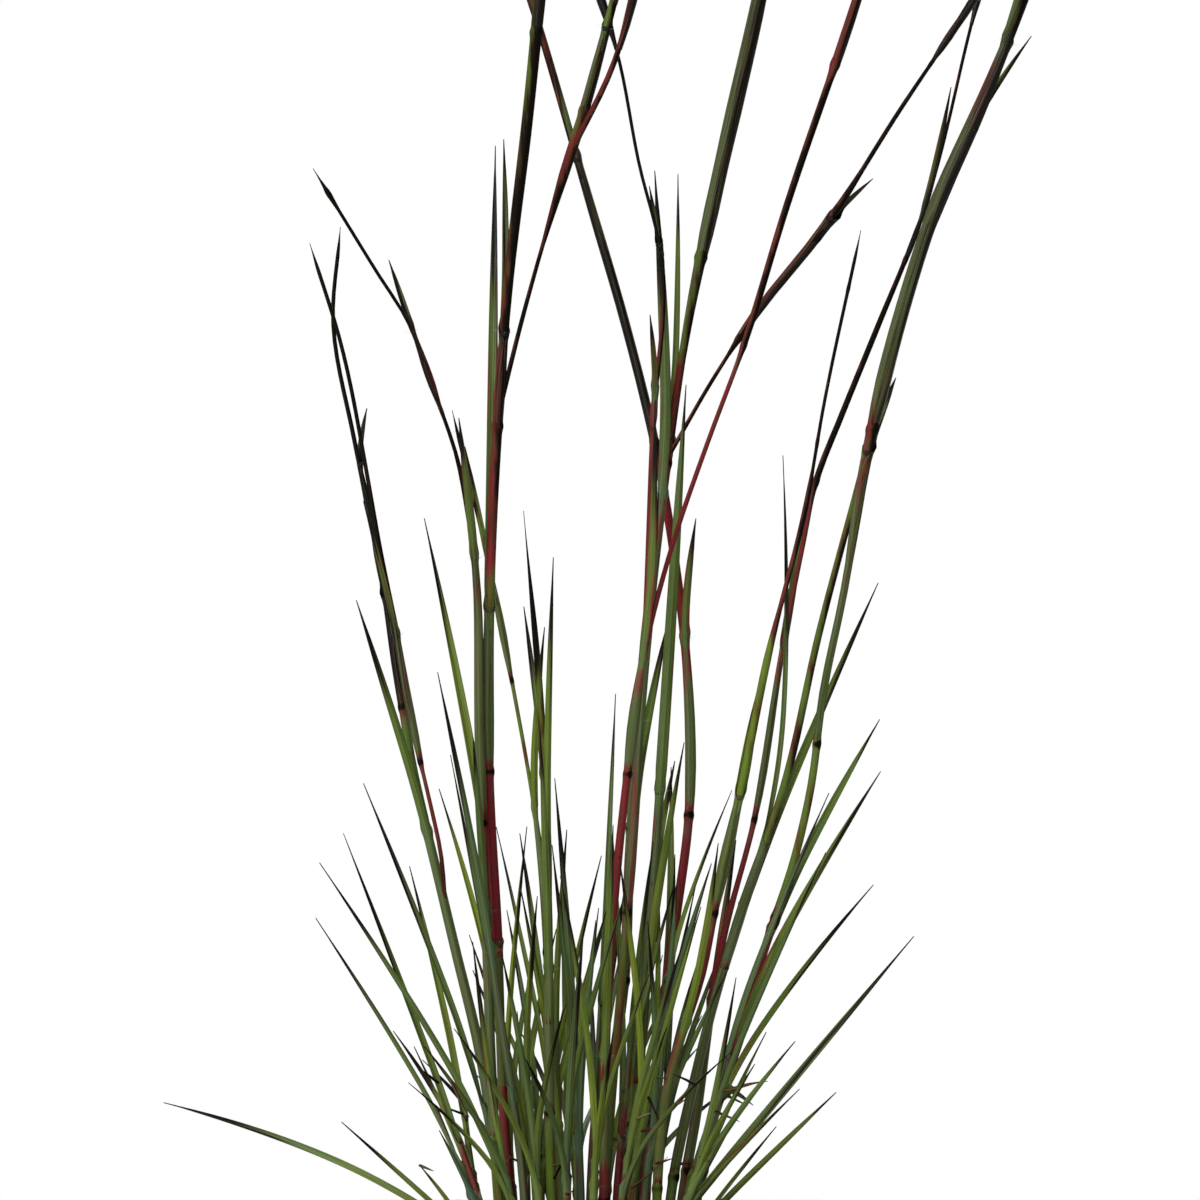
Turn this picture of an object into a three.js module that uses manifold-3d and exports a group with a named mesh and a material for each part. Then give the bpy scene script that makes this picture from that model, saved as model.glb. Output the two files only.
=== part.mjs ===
/**
 * Potted little bluestem: an upright clump of a fine-leaved prairie grass in a plain round nursery pot.
 *
 * Millimetres, +Z up, +Y away from the viewer. The origin is the centre of the pot's underside.
 * Heights in the two plant tables are measured from the pot's rim, so the plant follows the pot.
 * Each stem of the clump is one closed body: culm, swollen joints, leaf sheaths and blades have grown together.
 */
import * as THREE from 'three';
import { mergeVertices } from 'three/addons/utils/BufferGeometryUtils.js';
import Module from 'manifold-3d';

const wasm = await Module();
wasm.setup();

// Pot
const POT_HEIGHT = 165;
const POT_MOUTH_RADIUS = 78;
const POT_FOOT_RADIUS = 64;
const POT_WALL = 1.8;
const POT_FLOOR = 2.4;
const RIM_OVERHANG = 4.5;
const RIM_BAND = 9;
const STEP_DROP = 34;
const STEP_DEPTH = 1.2;
const POT_SIDES = 36;
const EDGE_EASE = 1.5;
const LIP_RISE = 1;
const DRAIN_HOLES = 6;
const DRAIN_RADIUS = 6;
const DRAIN_RISE = 2;
const DRILL_LENGTH = 24;
const DRILL_SIDES = 12;

// Soil
const SOIL_DROP = 15;
const SOIL_SLOPE = 3;
const SOIL_FLAT_RADIUS = 48;
const SEAT_GAP = 0.3;
const SIDE_GAP = 0.5;
const ROOT_DEPTH = 9;
const HOLE_SIDES = 6;
const HOLE_ROOM = 0.55;
const DRILL_ABOVE = 2;

// Grass
const CULM_SIDES = 6;
const FOOT_RISE = 1;
const NECK_LEAN = 0.3;
const SHOOT_RADIUS = 2.1;
const NECK_RADIUS = 1.6;
const SHEATH_RADIUS = 2.1;
const SHEATH_TAPER = 0.8;
const JOINT_SWELL = 1.14;
const JOINT_LENGTH = 5;
const JOINT_LEAST = 12;
const COLLAR_LIP = 2;
const RING_SPACE = 6;
const RING_LEAST = 0.8;
const FIRST_RING = 4;
const LAST_RING = 1;
const LOWEST_COLLAR = 0.55;
const TIP_CONE = 6;
const BLADE_THICKNESS = 0.8;
const BLADE_THINNING = 0.15;
const BLADE_ROOT_SHARE = 0.7;
const BLADE_WIDENING = 2.4;
const BLADE_TAPER = 2.4;
const BLADE_FOLD = 0.45;
const BLADE_BOW = 0.25;
const BLADE_ROOT_SINK = 4;
const BLADE_STEP_LENGTH = 34;
const BLADE_LEAST_STEPS = 2;
const BLADE_MOST_STEPS = 6;
const BLADE_APEX_START = 0.94;
const TWIST_LEAST = 0.55;
const TWIST_RANGE = 0.75;
const TWIST_AT_ROOT = 0.35;
const GOLDEN_SHARE = 0.618034;
const BEND_LEAST = 0.02;
const STEM_GAP = 0.5;
const CULM_ROOM = 1.05;
const SHEATH_MARGIN = 45;
const BLADE_ROOM = 0.58;
const BLADE_ROOM_LEAST = 0.3;
const BOX_MARGIN = 4;
const BEND_STEP = 4;
const BEND_TRIES = 30;
const LEAN_POWER = 1.2;

/**
 * Flowering stems. foot is [x, y] in the soil; girth the culm's radius as [height, radius], straight between
 * the keys; run its line as [x, y, height]. A leaf is [height of its joint, height of its collar, tip x,
 * tip y, tip height, blade width, sheath radius]. A fork leaves the culm at height from.
 */
const TALL_STEMS = [
  {
    foot: [-31, 13],
    girth: [[-14, 1.7], [150, 1.5], [230, 1.2], [245, 0.75], [342, 0.6]],
    run: [
      [-38, 18, 48], [-48, 24, 90], [-58, 30, 132], [-63, 33, 154], [-66.3, 37, 174], [-75, 44, 228],
      [-84, 50, 270], [-92, 58, 316], [-90, 62, 342],
    ],
    leaves: [
      [6, 130, -82, 8, 210, 2.2], [174, 214, -78, 58, 236, 1.7, 1.8], [236, 262, -80, 66, 283, 1.5, 1.3],
    ],
    forks: [{
      from: 102,
      girth: [[102, 0.7], [150, 0.6], [156, 0.9], [200, 1.2], [212, 1], [250, 0.65], [334, 0.6]],
      run: [
        [-52.6, 25, 122], [-56, 25, 138], [-60, 26, 155], [-64, 28, 174], [-69, 31, 202], [-74.5, 35, 230],
        [-79, 38, 256], [-89.5, 40, 307], [-98, 43, 334],
      ],
      leaves: [[154, 200, -80, 22, 246, 1.5, 1.6]],
    }],
  },
  {
    foot: [-31, -19],
    girth: [
      [-14, 1.7], [150, 1.4], [237, 1], [258, 0.6], [272, 0.55], [340, 0.5], [345, 0.85], [348, 0.85],
    ],
    run: [
      [-33, -22, 20], [-38, -32, 153], [-42, -38, 237], [-46.5, -41, 258], [-52, -43.5, 274],
      [-57, -46, 288], [-62, -48, 301], [-74, -53, 320], [-91.5, -61, 348],
    ],
    leaves: [
      [20, 100, -40, -58, 158, 2], [130, 222, -45, -60, 268, 2.2, 1.8],
      [272, 300, -69.7, -38, 325, 1.6, 1.4],
    ],
  },
  {
    foot: [-13, 13],
    girth: [[-14, 1.6], [87, 1.2], [130, 0.9], [142, 0.6], [276, 0.6]],
    run: [[-14, 20, 40], [-18, 34, 125], [-28, 46, 185], [-35, 52, 221], [-48, 62, 276]],
    leaves: [[87, 138, -16, 15, 201, 1.9, 1.5], [184, 225, -45, 76, 270, 1.6, 1.4]],
  },
  {
    foot: [-13, -19],
    girth: [[-14, 1.7], [231, 0.9]],
    run: [[-14, -24, 30], [-14.5, -33, 104], [-17, -40, 171], [-22.3, -48, 231]],
    leaves: [
      [30, 80, -17, -66, 160, 2], [60, 118, -12.5, -60, 220, 1.9, 1.9], [104, 146, -23, -18, 206, 1.8, 1.9],
    ],
  },
  {
    foot: [-27, -11],
    girth: [
      [-14, 1.8], [148, 1.6], [240, 1.6], [267, 1.7], [300, 1.5], [330, 1.7], [360, 1.85], [400, 1.9],
      [526, 1.5],
    ],
    run: [
      [-30, -16, 34], [-32, -24, 90], [-35, -31, 148], [-35, -36, 195], [-33.5, -41, 240], [-32, -45, 267],
      [-28.2, -52, 316], [-21.4, -61, 374], [-17.2, -68, 415], [-10.2, -80, 486], [-6, -88, 526],
    ],
    leaves: [
      [0, 90, -58, -2, 238, 2.6], [148, 205, -33, -20, 367, 2.8, 2.2], [267, 300, -30, -30, 368, 1.9, 2.1],
      [402, 442, -24, -94, 500, 2.1, 2.3],
    ],
    forks: [{
      from: 271,
      girth: [[271, 0.8], [330, 0.6], [340, 1], [356, 1.7], [372, 1.8], [392, 1.4], [478, 1.3]],
      run: [[-24, -40, 302], [-10, -34, 352], [-2, -30, 378], [8, -26, 416], [24, -19, 478]],
      leaves: [[378, 408, 18, -8, 460, 1.8, 1.9]],
      forks: [{
        from: 364,
        girth: [[364, 1], [460, 0.7]],
        run: [[7, -40, 390], [18, -48, 428], [25, -53, 460]],
        leaves: [],
      }],
    }],
  },
  {
    foot: [19, 21],
    girth: [[-14, 1.8], [136, 1.5], [344, 1.5], [370, 1.3], [484.5, 1.2]],
    run: [
      [25, 31, 60], [30, 37, 97], [35, 44, 136], [34.5, 51, 188], [30, 56, 229], [23, 60, 270],
      [12.3, 64, 314], [-0.2, 68, 357.5], [-16, 74, 413.5], [-37.5, 84, 484.5],
    ],
    leaves: [
      [11, 72, 29, 80, 155, 2], [136, 200, 37.5, 36, 241, 2.2, 2.1], [270, 374, -14, 64, 408, 1.6, 1.7],
    ],
  },
  {
    foot: [5, -19],
    girth: [
      [-14, 1.8], [147, 1.3], [187, 1.2], [195, 0.8], [290, 0.7], [297, 0.95], [302, 1.1], [392, 1.2],
      [400, 1.6], [496, 1.4],
    ],
    run: [
      [6, -24, 69], [13, -28, 147], [18.5, -29, 187], [29, -26, 228], [41, -22, 263], [53.5, -17, 297],
      [68.5, -10, 346], [93, 4, 419], [116, 18, 496],
    ],
    leaves: [
      [0, 50, 8, -62, 128, 2.2], [147, 187, 22.5, -42, 276, 2.4, 2.2], [398, 440, 108, -4, 486, 2, 1.9],
    ],
  },
  {
    foot: [5, 13],
    girth: [
      [-14, 1.8], [264, 1.6], [300, 1.3], [320, 1.6], [344, 2.1], [368, 2.5], [392, 2.8], [420, 2.7],
      [535, 1.6],
    ],
    run: [
      [7, 19, 38], [12, 26, 77], [14, 33, 122], [21, 46, 209], [27, 53, 260], [35.7, 61, 317],
      [46.1, 69, 367], [59, 78, 424], [83, 98, 535],
    ],
    leaves: [
      [77, 132, 28.5, 66, 209, 2.6], [150, 252, 23, 44, 366, 3, 2.1], [262, 272, 31.7, 88, 370, 1.7, 2],
      [337, 440, 72, 68, 504, 2.4, 2.8],
    ],
    forks: [{
      from: 264,
      girth: [
        [264, 0.7], [300, 0.6], [308, 1.2], [320, 1.4], [338, 1.6], [346, 1.8], [354, 1.2], [366, 0.75],
        [392, 0.7], [405, 0.55], [412, 1], [475, 1],
      ],
      run: [
        [44.5, 49, 293], [59.3, 46, 315.3], [81.2, 43, 342.5], [111.2, 39, 388.5], [135, 36, 424],
        [165.5, 32, 475],
      ],
      leaves: [[306, 350, 101, 52, 364, 1.5, 1.7], [404, 428, 148, 50, 460, 1.8, 1.5]],
    }],
  },
  {
    foot: [31, 13],
    girth: [
      [-14, 1.7], [80, 1.4], [110, 0.9], [197, 0.9], [205, 0.75], [250, 0.75], [256, 1.05], [310, 0.95],
      [345, 0.7], [368, 0.5], [484, 0.5],
    ],
    run: [
      [38, 20, 34], [46, 27, 88], [58, 34, 134], [69, 42, 199], [76, 47, 234], [80.5, 50, 255.5],
      [90, 53, 280], [102.6, 57, 311], [119, 63, 352], [136.5, 71, 419.5], [152.5, 80, 484],
    ],
    leaves: [
      [10, 70, 52, 62, 128, 2], [134, 197, 77, 56, 248, 2.2, 1.4], [336, 354, 129, 52, 397, 1.8, 1.1],
    ],
  },
  {
    foot: [32, -3],
    girth: [
      [-14, 1.8], [130, 1.3], [190, 1.15], [222, 1.2], [236, 1.7], [267, 1.9], [380, 1.9], [404, 1.7],
      [525, 1.6],
    ],
    run: [
      [45.5, -8, 38], [61, -13, 88], [71, -16, 118], [76, -18, 139], [81.5, -21, 178], [88, -23, 209],
      [97, -25, 262], [109, -28, 310], [119, -31, 341], [137, -34, 382], [151, -37, 417], [183, -46, 525],
    ],
    leaves: [
      [32, 37, 61.5, -24, 41, 1.4, 1.9], [34, 41, 57, 6, 33, 1.4, 1.9], [8, 60, 100, -48, 147, 2.4],
      [50, 95, 101.5, 6, 168, 2.2], [158, 260, 107, -6, 287, 2.4, 1.4],
      [267, 372, 154, -24, 405, 1.7, 2.8], [330, 402, 158, -62, 466, 2.4, 3],
    ],
  },
  {
    foot: [27, 5],
    girth: [[-14, 1.7], [300, 0.9]],
    run: [[38, 7, 48], [54, 9, 104], [67.5, 10, 143], [80.5, 7, 199], [94, 0, 250], [107, -8, 300]],
    leaves: [[8, 104, 102, 34, 218, 2.4], [80, 125, 68, 20, 262, 1.4]],
  },
  {
    foot: [23, -19],
    girth: [[-14, 1.6], [99, 1.2], [150, 1.3], [185, 1.3], [204, 0.75], [244, 0.9], [250, 0.5], [328, 0.5]],
    run: [
      [27, -22, 40], [39.5, -27, 81], [43, -28, 99], [54, -32, 150], [61, -36, 185], [74.8, -42, 240],
      [81, -44, 275], [92.3, -49, 328],
    ],
    leaves: [[4, 62, 44, -58, 122, 2], [99, 140, 58, -16, 176, 3, 2.4]],
  },
  {
    foot: [5, -3],
    girth: [[-14, 1.7], [270, 0.8], [332, 0.7], [336, 0.5], [468, 0.5]],
    run: [
      [13, 0, 100], [19, 4, 190], [22, 7, 270], [25, 10, 332], [17.2, 13, 365], [10, 17, 403],
      [-12, 26, 468],
    ],
    leaves: [
      [100, 168, 24, -16, 246, 2.2, 1.9], [270, 284, 21, -8, 309, 1.6, 1.5],
      [330, 336, 21, 24, 358, 1.4, 1.2],
    ],
  },
  {
    foot: [14, 13],
    girth: [[-14, 1.8], [150, 1.4]],
    run: [[20, 17, 80], [25, 21, 150]],
    leaves: [[0, 76, 33, 6, 160, 2.2], [40, 112, 30, 38, 155, 2], [80, 144, 34, 30, 288, 3, 1.9]],
  },
];

/**
 * Leafy shoots round the foot of the flowering stems. neck is the top of the flattened sheath, and each tip
 * is [x, y, height, blade width, bow]: the larger the bow, the longer the blade follows its sheath.
 */
const LEAFY_SHOOTS = [
  { foot: [-36, 5], neck: [-46, 9, 22], tips: [[-62, 32, 54, 1.6], [-87, 28, 129, 2.6, 0.12]] },
  { foot: [-37, -12], neck: [-45, -16, 14], tips: [[-52, -30, 24, 1.6], [-94.5, -38, 97, 1.8, 0.2]] },
  { foot: [-39, 13], neck: [-44, 18, 30], tips: [[-70, 58, 60, 2], [-64, 44, 118, 2.4]] },
  { foot: [-27, 5], neck: [-32, 6, 64], tips: [[-22, -4, 130, 2], [-53, 12, 144, 2.2]] },
  { foot: [-22, -19], neck: [-34, -36, 86], tips: [[-48, -44, 153, 1.8], [-52, -68, 180, 2.2]] },
  {
    foot: [-41, -3],
    neck: [-49, -4, -8],
    tips: [[-59, -14, 12, 1.6, 0.35], [-86, -20, 27, 1.8, 0.15], [-149, 8, 34, 2.2, 0.42]],
  },
  { foot: [-28, -3], neck: [-37, -5, 34], tips: [[-94, -14, 117, 2.2, 0.2], [-79, -6, 145, 2.4, 0.2]] },
  { foot: [-22, 13], neck: [-23, 17, 32], tips: [[-26, 62, 67, 2], [-42, 74, 82, 2], [-12, 50, 96, 2.2]] },
  { foot: [-9, 4], neck: [-15, 11, 58], tips: [[-33, 22, 131, 1.8], [-25, 52, 130, 2.2]] },
  { foot: [-3, -11], neck: [-5, -16, 50], tips: [[3, -50, 100, 2.2], [-13, -42, 122, 2.2], [-12, -62, 144, 2.4]] },
  { foot: [-18, -3], neck: [-13, -6, 42], tips: [[6, 6, 102, 2.4], [4, -34, 119, 2]] },
  { foot: [0, 6], neck: [4, 11, 70], tips: [[14, 46, 120, 2], [9, 24, 178, 2]] },
  { foot: [14, -3], neck: [26, -8, 62], tips: [[37, 10, 110, 2], [42, -32, 116, 2.2]] },
  { foot: [18, 5], neck: [27, 9, 78], tips: [[24, 30, 120, 2], [50, 24, 144, 1.8]] },
  { foot: [34, -10], neck: [47, -20, 50], tips: [[81, -52, 119, 2], [83, -4, 141, 2]] },
  { foot: [36, 5], neck: [43, 9, 28], tips: [[62, 28, 59, 1.6], [56, 48, 61, 1.6], [100, 32, 111, 2.4]] },
  {
    foot: [27, -12],
    neck: [35, -16, -1],
    tips: [[52, -36, 32, 1.8], [72, -46, 38, 1.8], [94, -38, 70, 2, 0.1], [112, -28, 91, 2.8, 0.12]],
  },
  { foot: [35, 21], neck: [45, 27, -2], tips: [[66, 52, 26, 1.5], [87, 42, 38, 2.2]] },
  { foot: [-17, -27], neck: [-19, -33, 20], tips: [[-46, -84, 58, 2], [-8, -96, 66, 2.2], [-30, -78, 84, 2.2]] },
  { foot: [-8, -27], neck: [-8, -34, 24], tips: [[-22, -100, 48, 2], [-2, -86, 92, 2.4], [12, -70, 104, 2.2]] },
  { foot: [1, -28], neck: [2, -36, 22], tips: [[8, -112, 56, 2.2], [20, -92, 76, 2], [-10, -66, 110, 2.4]] },
  { foot: [10, -26], neck: [14, -33, 22], tips: [[48, -80, 50, 2], [26, -102, 58, 2], [32, -76, 88, 2.4]] },
  { foot: [14, -18], neck: [18, -23, 36], tips: [[38, -62, 100, 2.2], [10, -50, 118, 2.2]] },
  { foot: [-25, -26], neck: [-30, -33, 14], tips: [[-62, -62, 40, 2], [-56, -80, 52, 2], [-40, -62, 88, 2.2]] },
  { foot: [-26, 21], neck: [-29, 27, 22], tips: [[-60, 76, 50, 2], [-20, 96, 88, 2.2], [-48, 76, 82, 2.2]] },
  { foot: [-17, 21], neck: [-18, 28, 26], tips: [[-4, 98, 78, 2], [-30, 88, 104, 2.2]] },
  { foot: [-8, 21], neck: [-8, 30, 28], tips: [[-26, 112, 62, 2], [6, 78, 92, 2.2], [-10, 92, 110, 2.4]] },
  { foot: [1, 21], neck: [2, 30, 30], tips: [[0, 106, 82, 2.2], [15, 88, 104, 2.2]] },
  { foot: [10, 22], neck: [13, 31, 28], tips: [[40, 100, 56, 2], [26, 96, 88, 2.2], [21, 70, 112, 2.2]] },
  { foot: [-4, 29], neck: [-5, 38, 16], tips: [[-16, 122, 58, 2.2], [10, 126, 46, 2], [2, 80, 100, 2.2]] },
  { foot: [5, 30], neck: [7, 39, 18], tips: [[20, 118, 60, 2.2], [30, 84, 78, 2.2]] },
  { foot: [-13, 29], neck: [-15, 37, 16], tips: [[-42, 94, 46, 2], [-34, 106, 70, 2.2]] },
  { foot: [14, 29], neck: [18, 37, 16], tips: [[50, 92, 40, 2], [40, 86, 66, 2.2]] },
  { foot: [-10, -10], neck: [-12, -13, 60], tips: [[-24, -40, 108, 2.2], [-8, -26, 128, 2.2]] },
  { foot: [9, 4], neck: [14, 6, 55], tips: [[8, 30, 128, 2.2], [30, 40, 112, 2], [22, -22, 124, 2.2]] },
  { foot: [18, -10], neck: [24, -14, 40], tips: [[48, -44, 80, 2], [20, -30, 96, 2], [30, -52, 110, 2.2]] },
  { foot: [-18, -11], neck: [-22, -15, 40], tips: [[-42, -44, 92, 2.2], [-18, -52, 104, 2.2]] },
  { foot: [23, 13], neck: [27, 17, 46], tips: [[48, 50, 92, 2.2], [38, 62, 84, 2], [30, 40, 122, 2.2]] },
  { foot: [-4, 13], neck: [-5, 18, 55], tips: [[-10, 50, 122, 2.2], [8, 56, 108, 2.2]] },
  { foot: [31, -21], neck: [38, -27, 14], tips: [[70, -68, 54, 2.2], [56, -82, 46, 2], [50, -60, 76, 2.2]] },
];

const GREENS = [0x4c6a3a, 0x5a7a3f, 0x3f5f3c, 0x66803a, 0x4f7050];
const GRASS_ROUGHNESS = 0.6;
const POT_BLACK = 0x1b1c1d;
const POT_ROUGHNESS = 0.55;
const SOIL_BROWN = 0x33261c;
const SOIL_ROUGHNESS = 0.95;
const WELD = 1e-4;
const PARALLEL = 1e-9;

/** A closed indexed mesh as a solid that can be joined and cut. */
function solidOf(geometry) {
  const bare = geometry.clone();
  bare.deleteAttribute('normal');
  bare.deleteAttribute('uv');
  const merged = mergeVertices(bare, WELD);
  return new wasm.Manifold(new wasm.Mesh({
    numProp: 3,
    vertProperties: new Float32Array(merged.attributes.position.array),
    triVerts: new Uint32Array(merged.index.array),
  }));
}

/** A solid back as a geometry for a scene-graph mesh. */
function geometryOf(solid) {
  const mesh = solid.getMesh();
  const geometry = new THREE.BufferGeometry();
  geometry.setAttribute('position', new THREE.BufferAttribute(new Float32Array(mesh.vertProperties), 3));
  geometry.setIndex(new THREE.BufferAttribute(new Uint32Array(mesh.triVerts), 1));
  geometry.computeVertexNormals();
  return geometry;
}

/**
 * Skins a row of rings, all with the same number of corners, closed flat below and drawn to an apex above.
 * The second half of the sides is split the other way, so that both faces of a blade are split alike.
 */
function skin(rings, apex) {
  const sides = rings[0].length;
  const corners = [...rings.flat(), apex];
  const faces = [];
  for (let side = 1; side + 1 < sides; side += 1) {
    faces.push(0, side + 1, side);
  }
  for (let ring = 0; ring + 1 < rings.length; ring += 1) {
    for (let side = 0; side < sides; side += 1) {
      const a = ring * sides + side;
      const b = ring * sides + (side + 1) % sides;
      if (2 * side < sides) {
        faces.push(a, b, b + sides, a, b + sides, a + sides);
      } else {
        faces.push(a, b, a + sides, b, b + sides, a + sides);
      }
    }
  }
  const last = (rings.length - 1) * sides;
  for (let side = 0; side < sides; side += 1) {
    faces.push(last + side, last + (side + 1) % sides, corners.length - 1);
  }
  const geometry = new THREE.BufferGeometry();
  geometry.setAttribute('position', new THREE.Float32BufferAttribute(corners.flatMap((v) => v.toArray()), 3));
  geometry.setIndex(faces);
  return geometry;
}

/** The direction of a line of points at one of them. */
function heading(points, index) {
  const before = points[Math.max(index - 1, 0)];
  const after = points[Math.min(index + 1, points.length - 1)];
  return after.clone().sub(before).normalize();
}

/** A round rod along a line of points, with a radius for each, that ends in a short cone. */
function rod(points, radii) {
  const reference = new THREE.Vector3(0, 1, 0);
  const rings = points.map((point, index) => {
    const ahead = heading(points, index);
    const side = new THREE.Vector3().crossVectors(reference, ahead).normalize();
    const front = new THREE.Vector3().crossVectors(ahead, side);
    return Array.from({ length: CULM_SIDES }, (_, corner) => {
      const turn = (2 * Math.PI * corner) / CULM_SIDES;
      return point.clone()
        .addScaledVector(side, radii[index] * Math.cos(turn))
        .addScaledVector(front, radii[index] * Math.sin(turn));
    });
  });
  return skin(rings, points.at(-1).clone().addScaledVector(heading(points, points.length - 1), TIP_CONE));
}

/** Where a rising line passes a height, and its direction there. */
function crossing(points, height) {
  let index = 0;
  while (index + 2 < points.length && points[index + 1].z < height) {
    index += 1;
  }
  const low = points[index];
  const high = points[index + 1];
  const share = THREE.MathUtils.clamp((height - low.z) / (high.z - low.z), 0, 1);
  return { at: low.clone().lerp(high, share), ahead: high.clone().sub(low).normalize() };
}

/** A blade's half reach from its midrib, as a share of its width: full low down, then a long taper. */
function bladeShare(along) {
  return Math.min(1, BLADE_ROOT_SHARE + BLADE_WIDENING * along) * (1 - along ** BLADE_TAPER);
}

/**
 * The midrib of a blade: it starts along its sheath and bends towards its tip. The points are on a
 * parabola whose middle control point lies ahead of the root by the bow's share of the length.
 */
function midrib(root, ahead, tip, bow) {
  const length = root.distanceTo(tip);
  const control = root.clone().addScaledVector(ahead, bow * length);
  const steps = THREE.MathUtils.clamp(
    Math.round(length / BLADE_STEP_LENGTH),
    BLADE_LEAST_STEPS,
    BLADE_MOST_STEPS,
  );
  const at = (along) => root.clone().multiplyScalar((1 - along) ** 2)
    .addScaledVector(control, 2 * along * (1 - along))
    .addScaledVector(tip, along ** 2);
  const alongs = Array.from({ length: steps + 1 }, (_, index) => (BLADE_APEX_START * index) / steps);
  return { points: [...alongs.map(at), at(1)], alongs: [...alongs, 1] };
}

/** A blade folded along its midrib: two edges, keel and groove, turning slowly along its length. */
function blade(rib, width, twist) {
  const { points, alongs, ahead } = rib;
  const chord = points.at(-1).clone().sub(points[0]);
  const across = new THREE.Vector3().crossVectors(ahead, chord);
  if (across.length() < BEND_LEAST * chord.length()) {
    across.crossVectors(new THREE.Vector3(0, 1, 0), chord);
  }
  across.normalize();
  const rings = points.slice(0, -1).map((point, index) => {
    const along = alongs[index];
    const forward = heading(points, index);
    const rise = new THREE.Vector3().crossVectors(forward, across).normalize();
    const turn = twist * (TWIST_AT_ROOT + (1 - TWIST_AT_ROOT) * along);
    const edge = across.clone().multiplyScalar(Math.cos(turn)).addScaledVector(rise, Math.sin(turn));
    const face = new THREE.Vector3().crossVectors(forward, edge).normalize();
    const half = 0.5 * width * bladeShare(along);
    const thick = BLADE_THICKNESS - BLADE_THINNING * along;
    return [
      point.clone().addScaledVector(edge, -half).addScaledVector(face, BLADE_FOLD * half),
      point.clone().addScaledVector(face, -0.5 * thick),
      point.clone().addScaledVector(edge, half).addScaledVector(face, BLADE_FOLD * half),
      point.clone().addScaledVector(face, 0.5 * thick),
    ];
  });
  return skin(rings, points.at(-1));
}

/** The shortest distance between two straight stretches, start to end and other start to other end. */
function stretchGap(start, end, otherStart, otherEnd) {
  const run = end.clone().sub(start);
  const otherRun = otherEnd.clone().sub(otherStart);
  const apart = start.clone().sub(otherStart);
  const runSquared = run.dot(run);
  const otherSquared = otherRun.dot(otherRun);
  const both = run.dot(otherRun);
  const along = run.dot(apart);
  const otherAlong = otherRun.dot(apart);
  const spread = runSquared * otherSquared - both * both;
  let share = 0;
  if (spread > PARALLEL) {
    share = THREE.MathUtils.clamp((both * otherAlong - along * otherSquared) / spread, 0, 1);
  }
  let otherShare = (both * share + otherAlong) / otherSquared;
  if (otherShare < 0) {
    otherShare = 0;
    share = THREE.MathUtils.clamp(-along / runSquared, 0, 1);
  } else if (otherShare > 1) {
    otherShare = 1;
    share = THREE.MathUtils.clamp((both - along) / runSquared, 0, 1);
  }
  const nearest = start.clone().addScaledVector(run, share);
  return nearest.distanceTo(otherStart.clone().addScaledVector(otherRun, otherShare));
}

const placed = [];

/** Whether a line with a reach at each point stays off every line of the other stems. */
function staysClear(line, owner) {
  const box = new THREE.Box3().setFromPoints(line.points).expandByScalar(BOX_MARGIN);
  for (const other of placed) {
    if (other.owner === owner || !other.box.intersectsBox(box)) {
      continue;
    }
    for (let i = 0; i + 1 < line.points.length; i += 1) {
      for (let j = 0; j + 1 < other.points.length; j += 1) {
        const room = Math.max(line.reach[i], line.reach[i + 1])
          + Math.max(other.reach[j], other.reach[j + 1]) + STEM_GAP;
        const gap = stretchGap(line.points[i], line.points[i + 1], other.points[j], other.points[j + 1]);
        if (gap < room) {
          return false;
        }
      }
    }
  }
  return true;
}

/** Leans a line towards or away from the viewer, a little more each try, until it clears the other stems. */
function bendClear(owner, shape) {
  for (let attempt = 0; attempt <= 2 * BEND_TRIES; attempt += 1) {
    const lean = BEND_STEP * Math.ceil(attempt / 2) * (attempt % 2 === 0 ? 1 : -1);
    const line = shape(lean);
    if (staysClear(line, owner)) {
      line.owner = owner;
      line.box = new THREE.Box3().setFromPoints(line.points).expandByScalar(BOX_MARGIN);
      placed.push(line);
      return line;
    }
  }
  throw new Error(`${owner} finds no clear way`);
}

/** A height above the rim as a height above the pot's underside. */
function raised([x, y, height]) {
  return new THREE.Vector3(x, y, POT_HEIGHT + height);
}

/** The bare radius of a culm at a height above the pot's underside. */
function girthAt(girth, height) {
  const above = height - POT_HEIGHT;
  const index = girth.findIndex(([key]) => key >= above);
  if (index <= 0) {
    return index === 0 ? girth[0][1] : girth.at(-1)[1];
  }
  const [[low, lowRadius], [high, highRadius]] = [girth[index - 1], girth[index]];
  return THREE.MathUtils.mapLinear(above, low, high, lowRadius, highRadius);
}

/**
 * The line of a culm, leaning more and more from its start to its top, and its reach at each point: that of
 * its thickest place between the points on either side, or of a sheath near by.
 */
function culmLine(start, run, girth, leaves, lean) {
  const points = [...start.map((point) => point.clone()), ...run.map(raised)];
  const top = points.at(-1).z;
  const reach = points.map((point, index) => {
    const low = (points[index - 1] ?? point).z - POT_HEIGHT;
    const high = (points[index + 1] ?? point).z - POT_HEIGHT;
    const thick = girth.filter(([height]) => height > low && height < high).map(([, radius]) => radius);
    const bare = Math.max(girthAt(girth, point.z), ...thick);
    const cover = leaves
      .filter(([joint]) => point.z > POT_HEIGHT + joint - SHEATH_MARGIN)
      .filter(([, collar]) => point.z < POT_HEIGHT + collar + SHEATH_MARGIN)
      .map((leaf) => leaf[6] ?? SHEATH_RADIUS);
    return Math.max(bare * CULM_ROOM, ...cover);
  });
  points.forEach((point) => {
    point.y += lean * Math.max(0, (point.z - POT_HEIGHT) / (top - POT_HEIGHT)) ** LEAN_POWER;
  });
  return { points, girth, reach };
}

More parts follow.
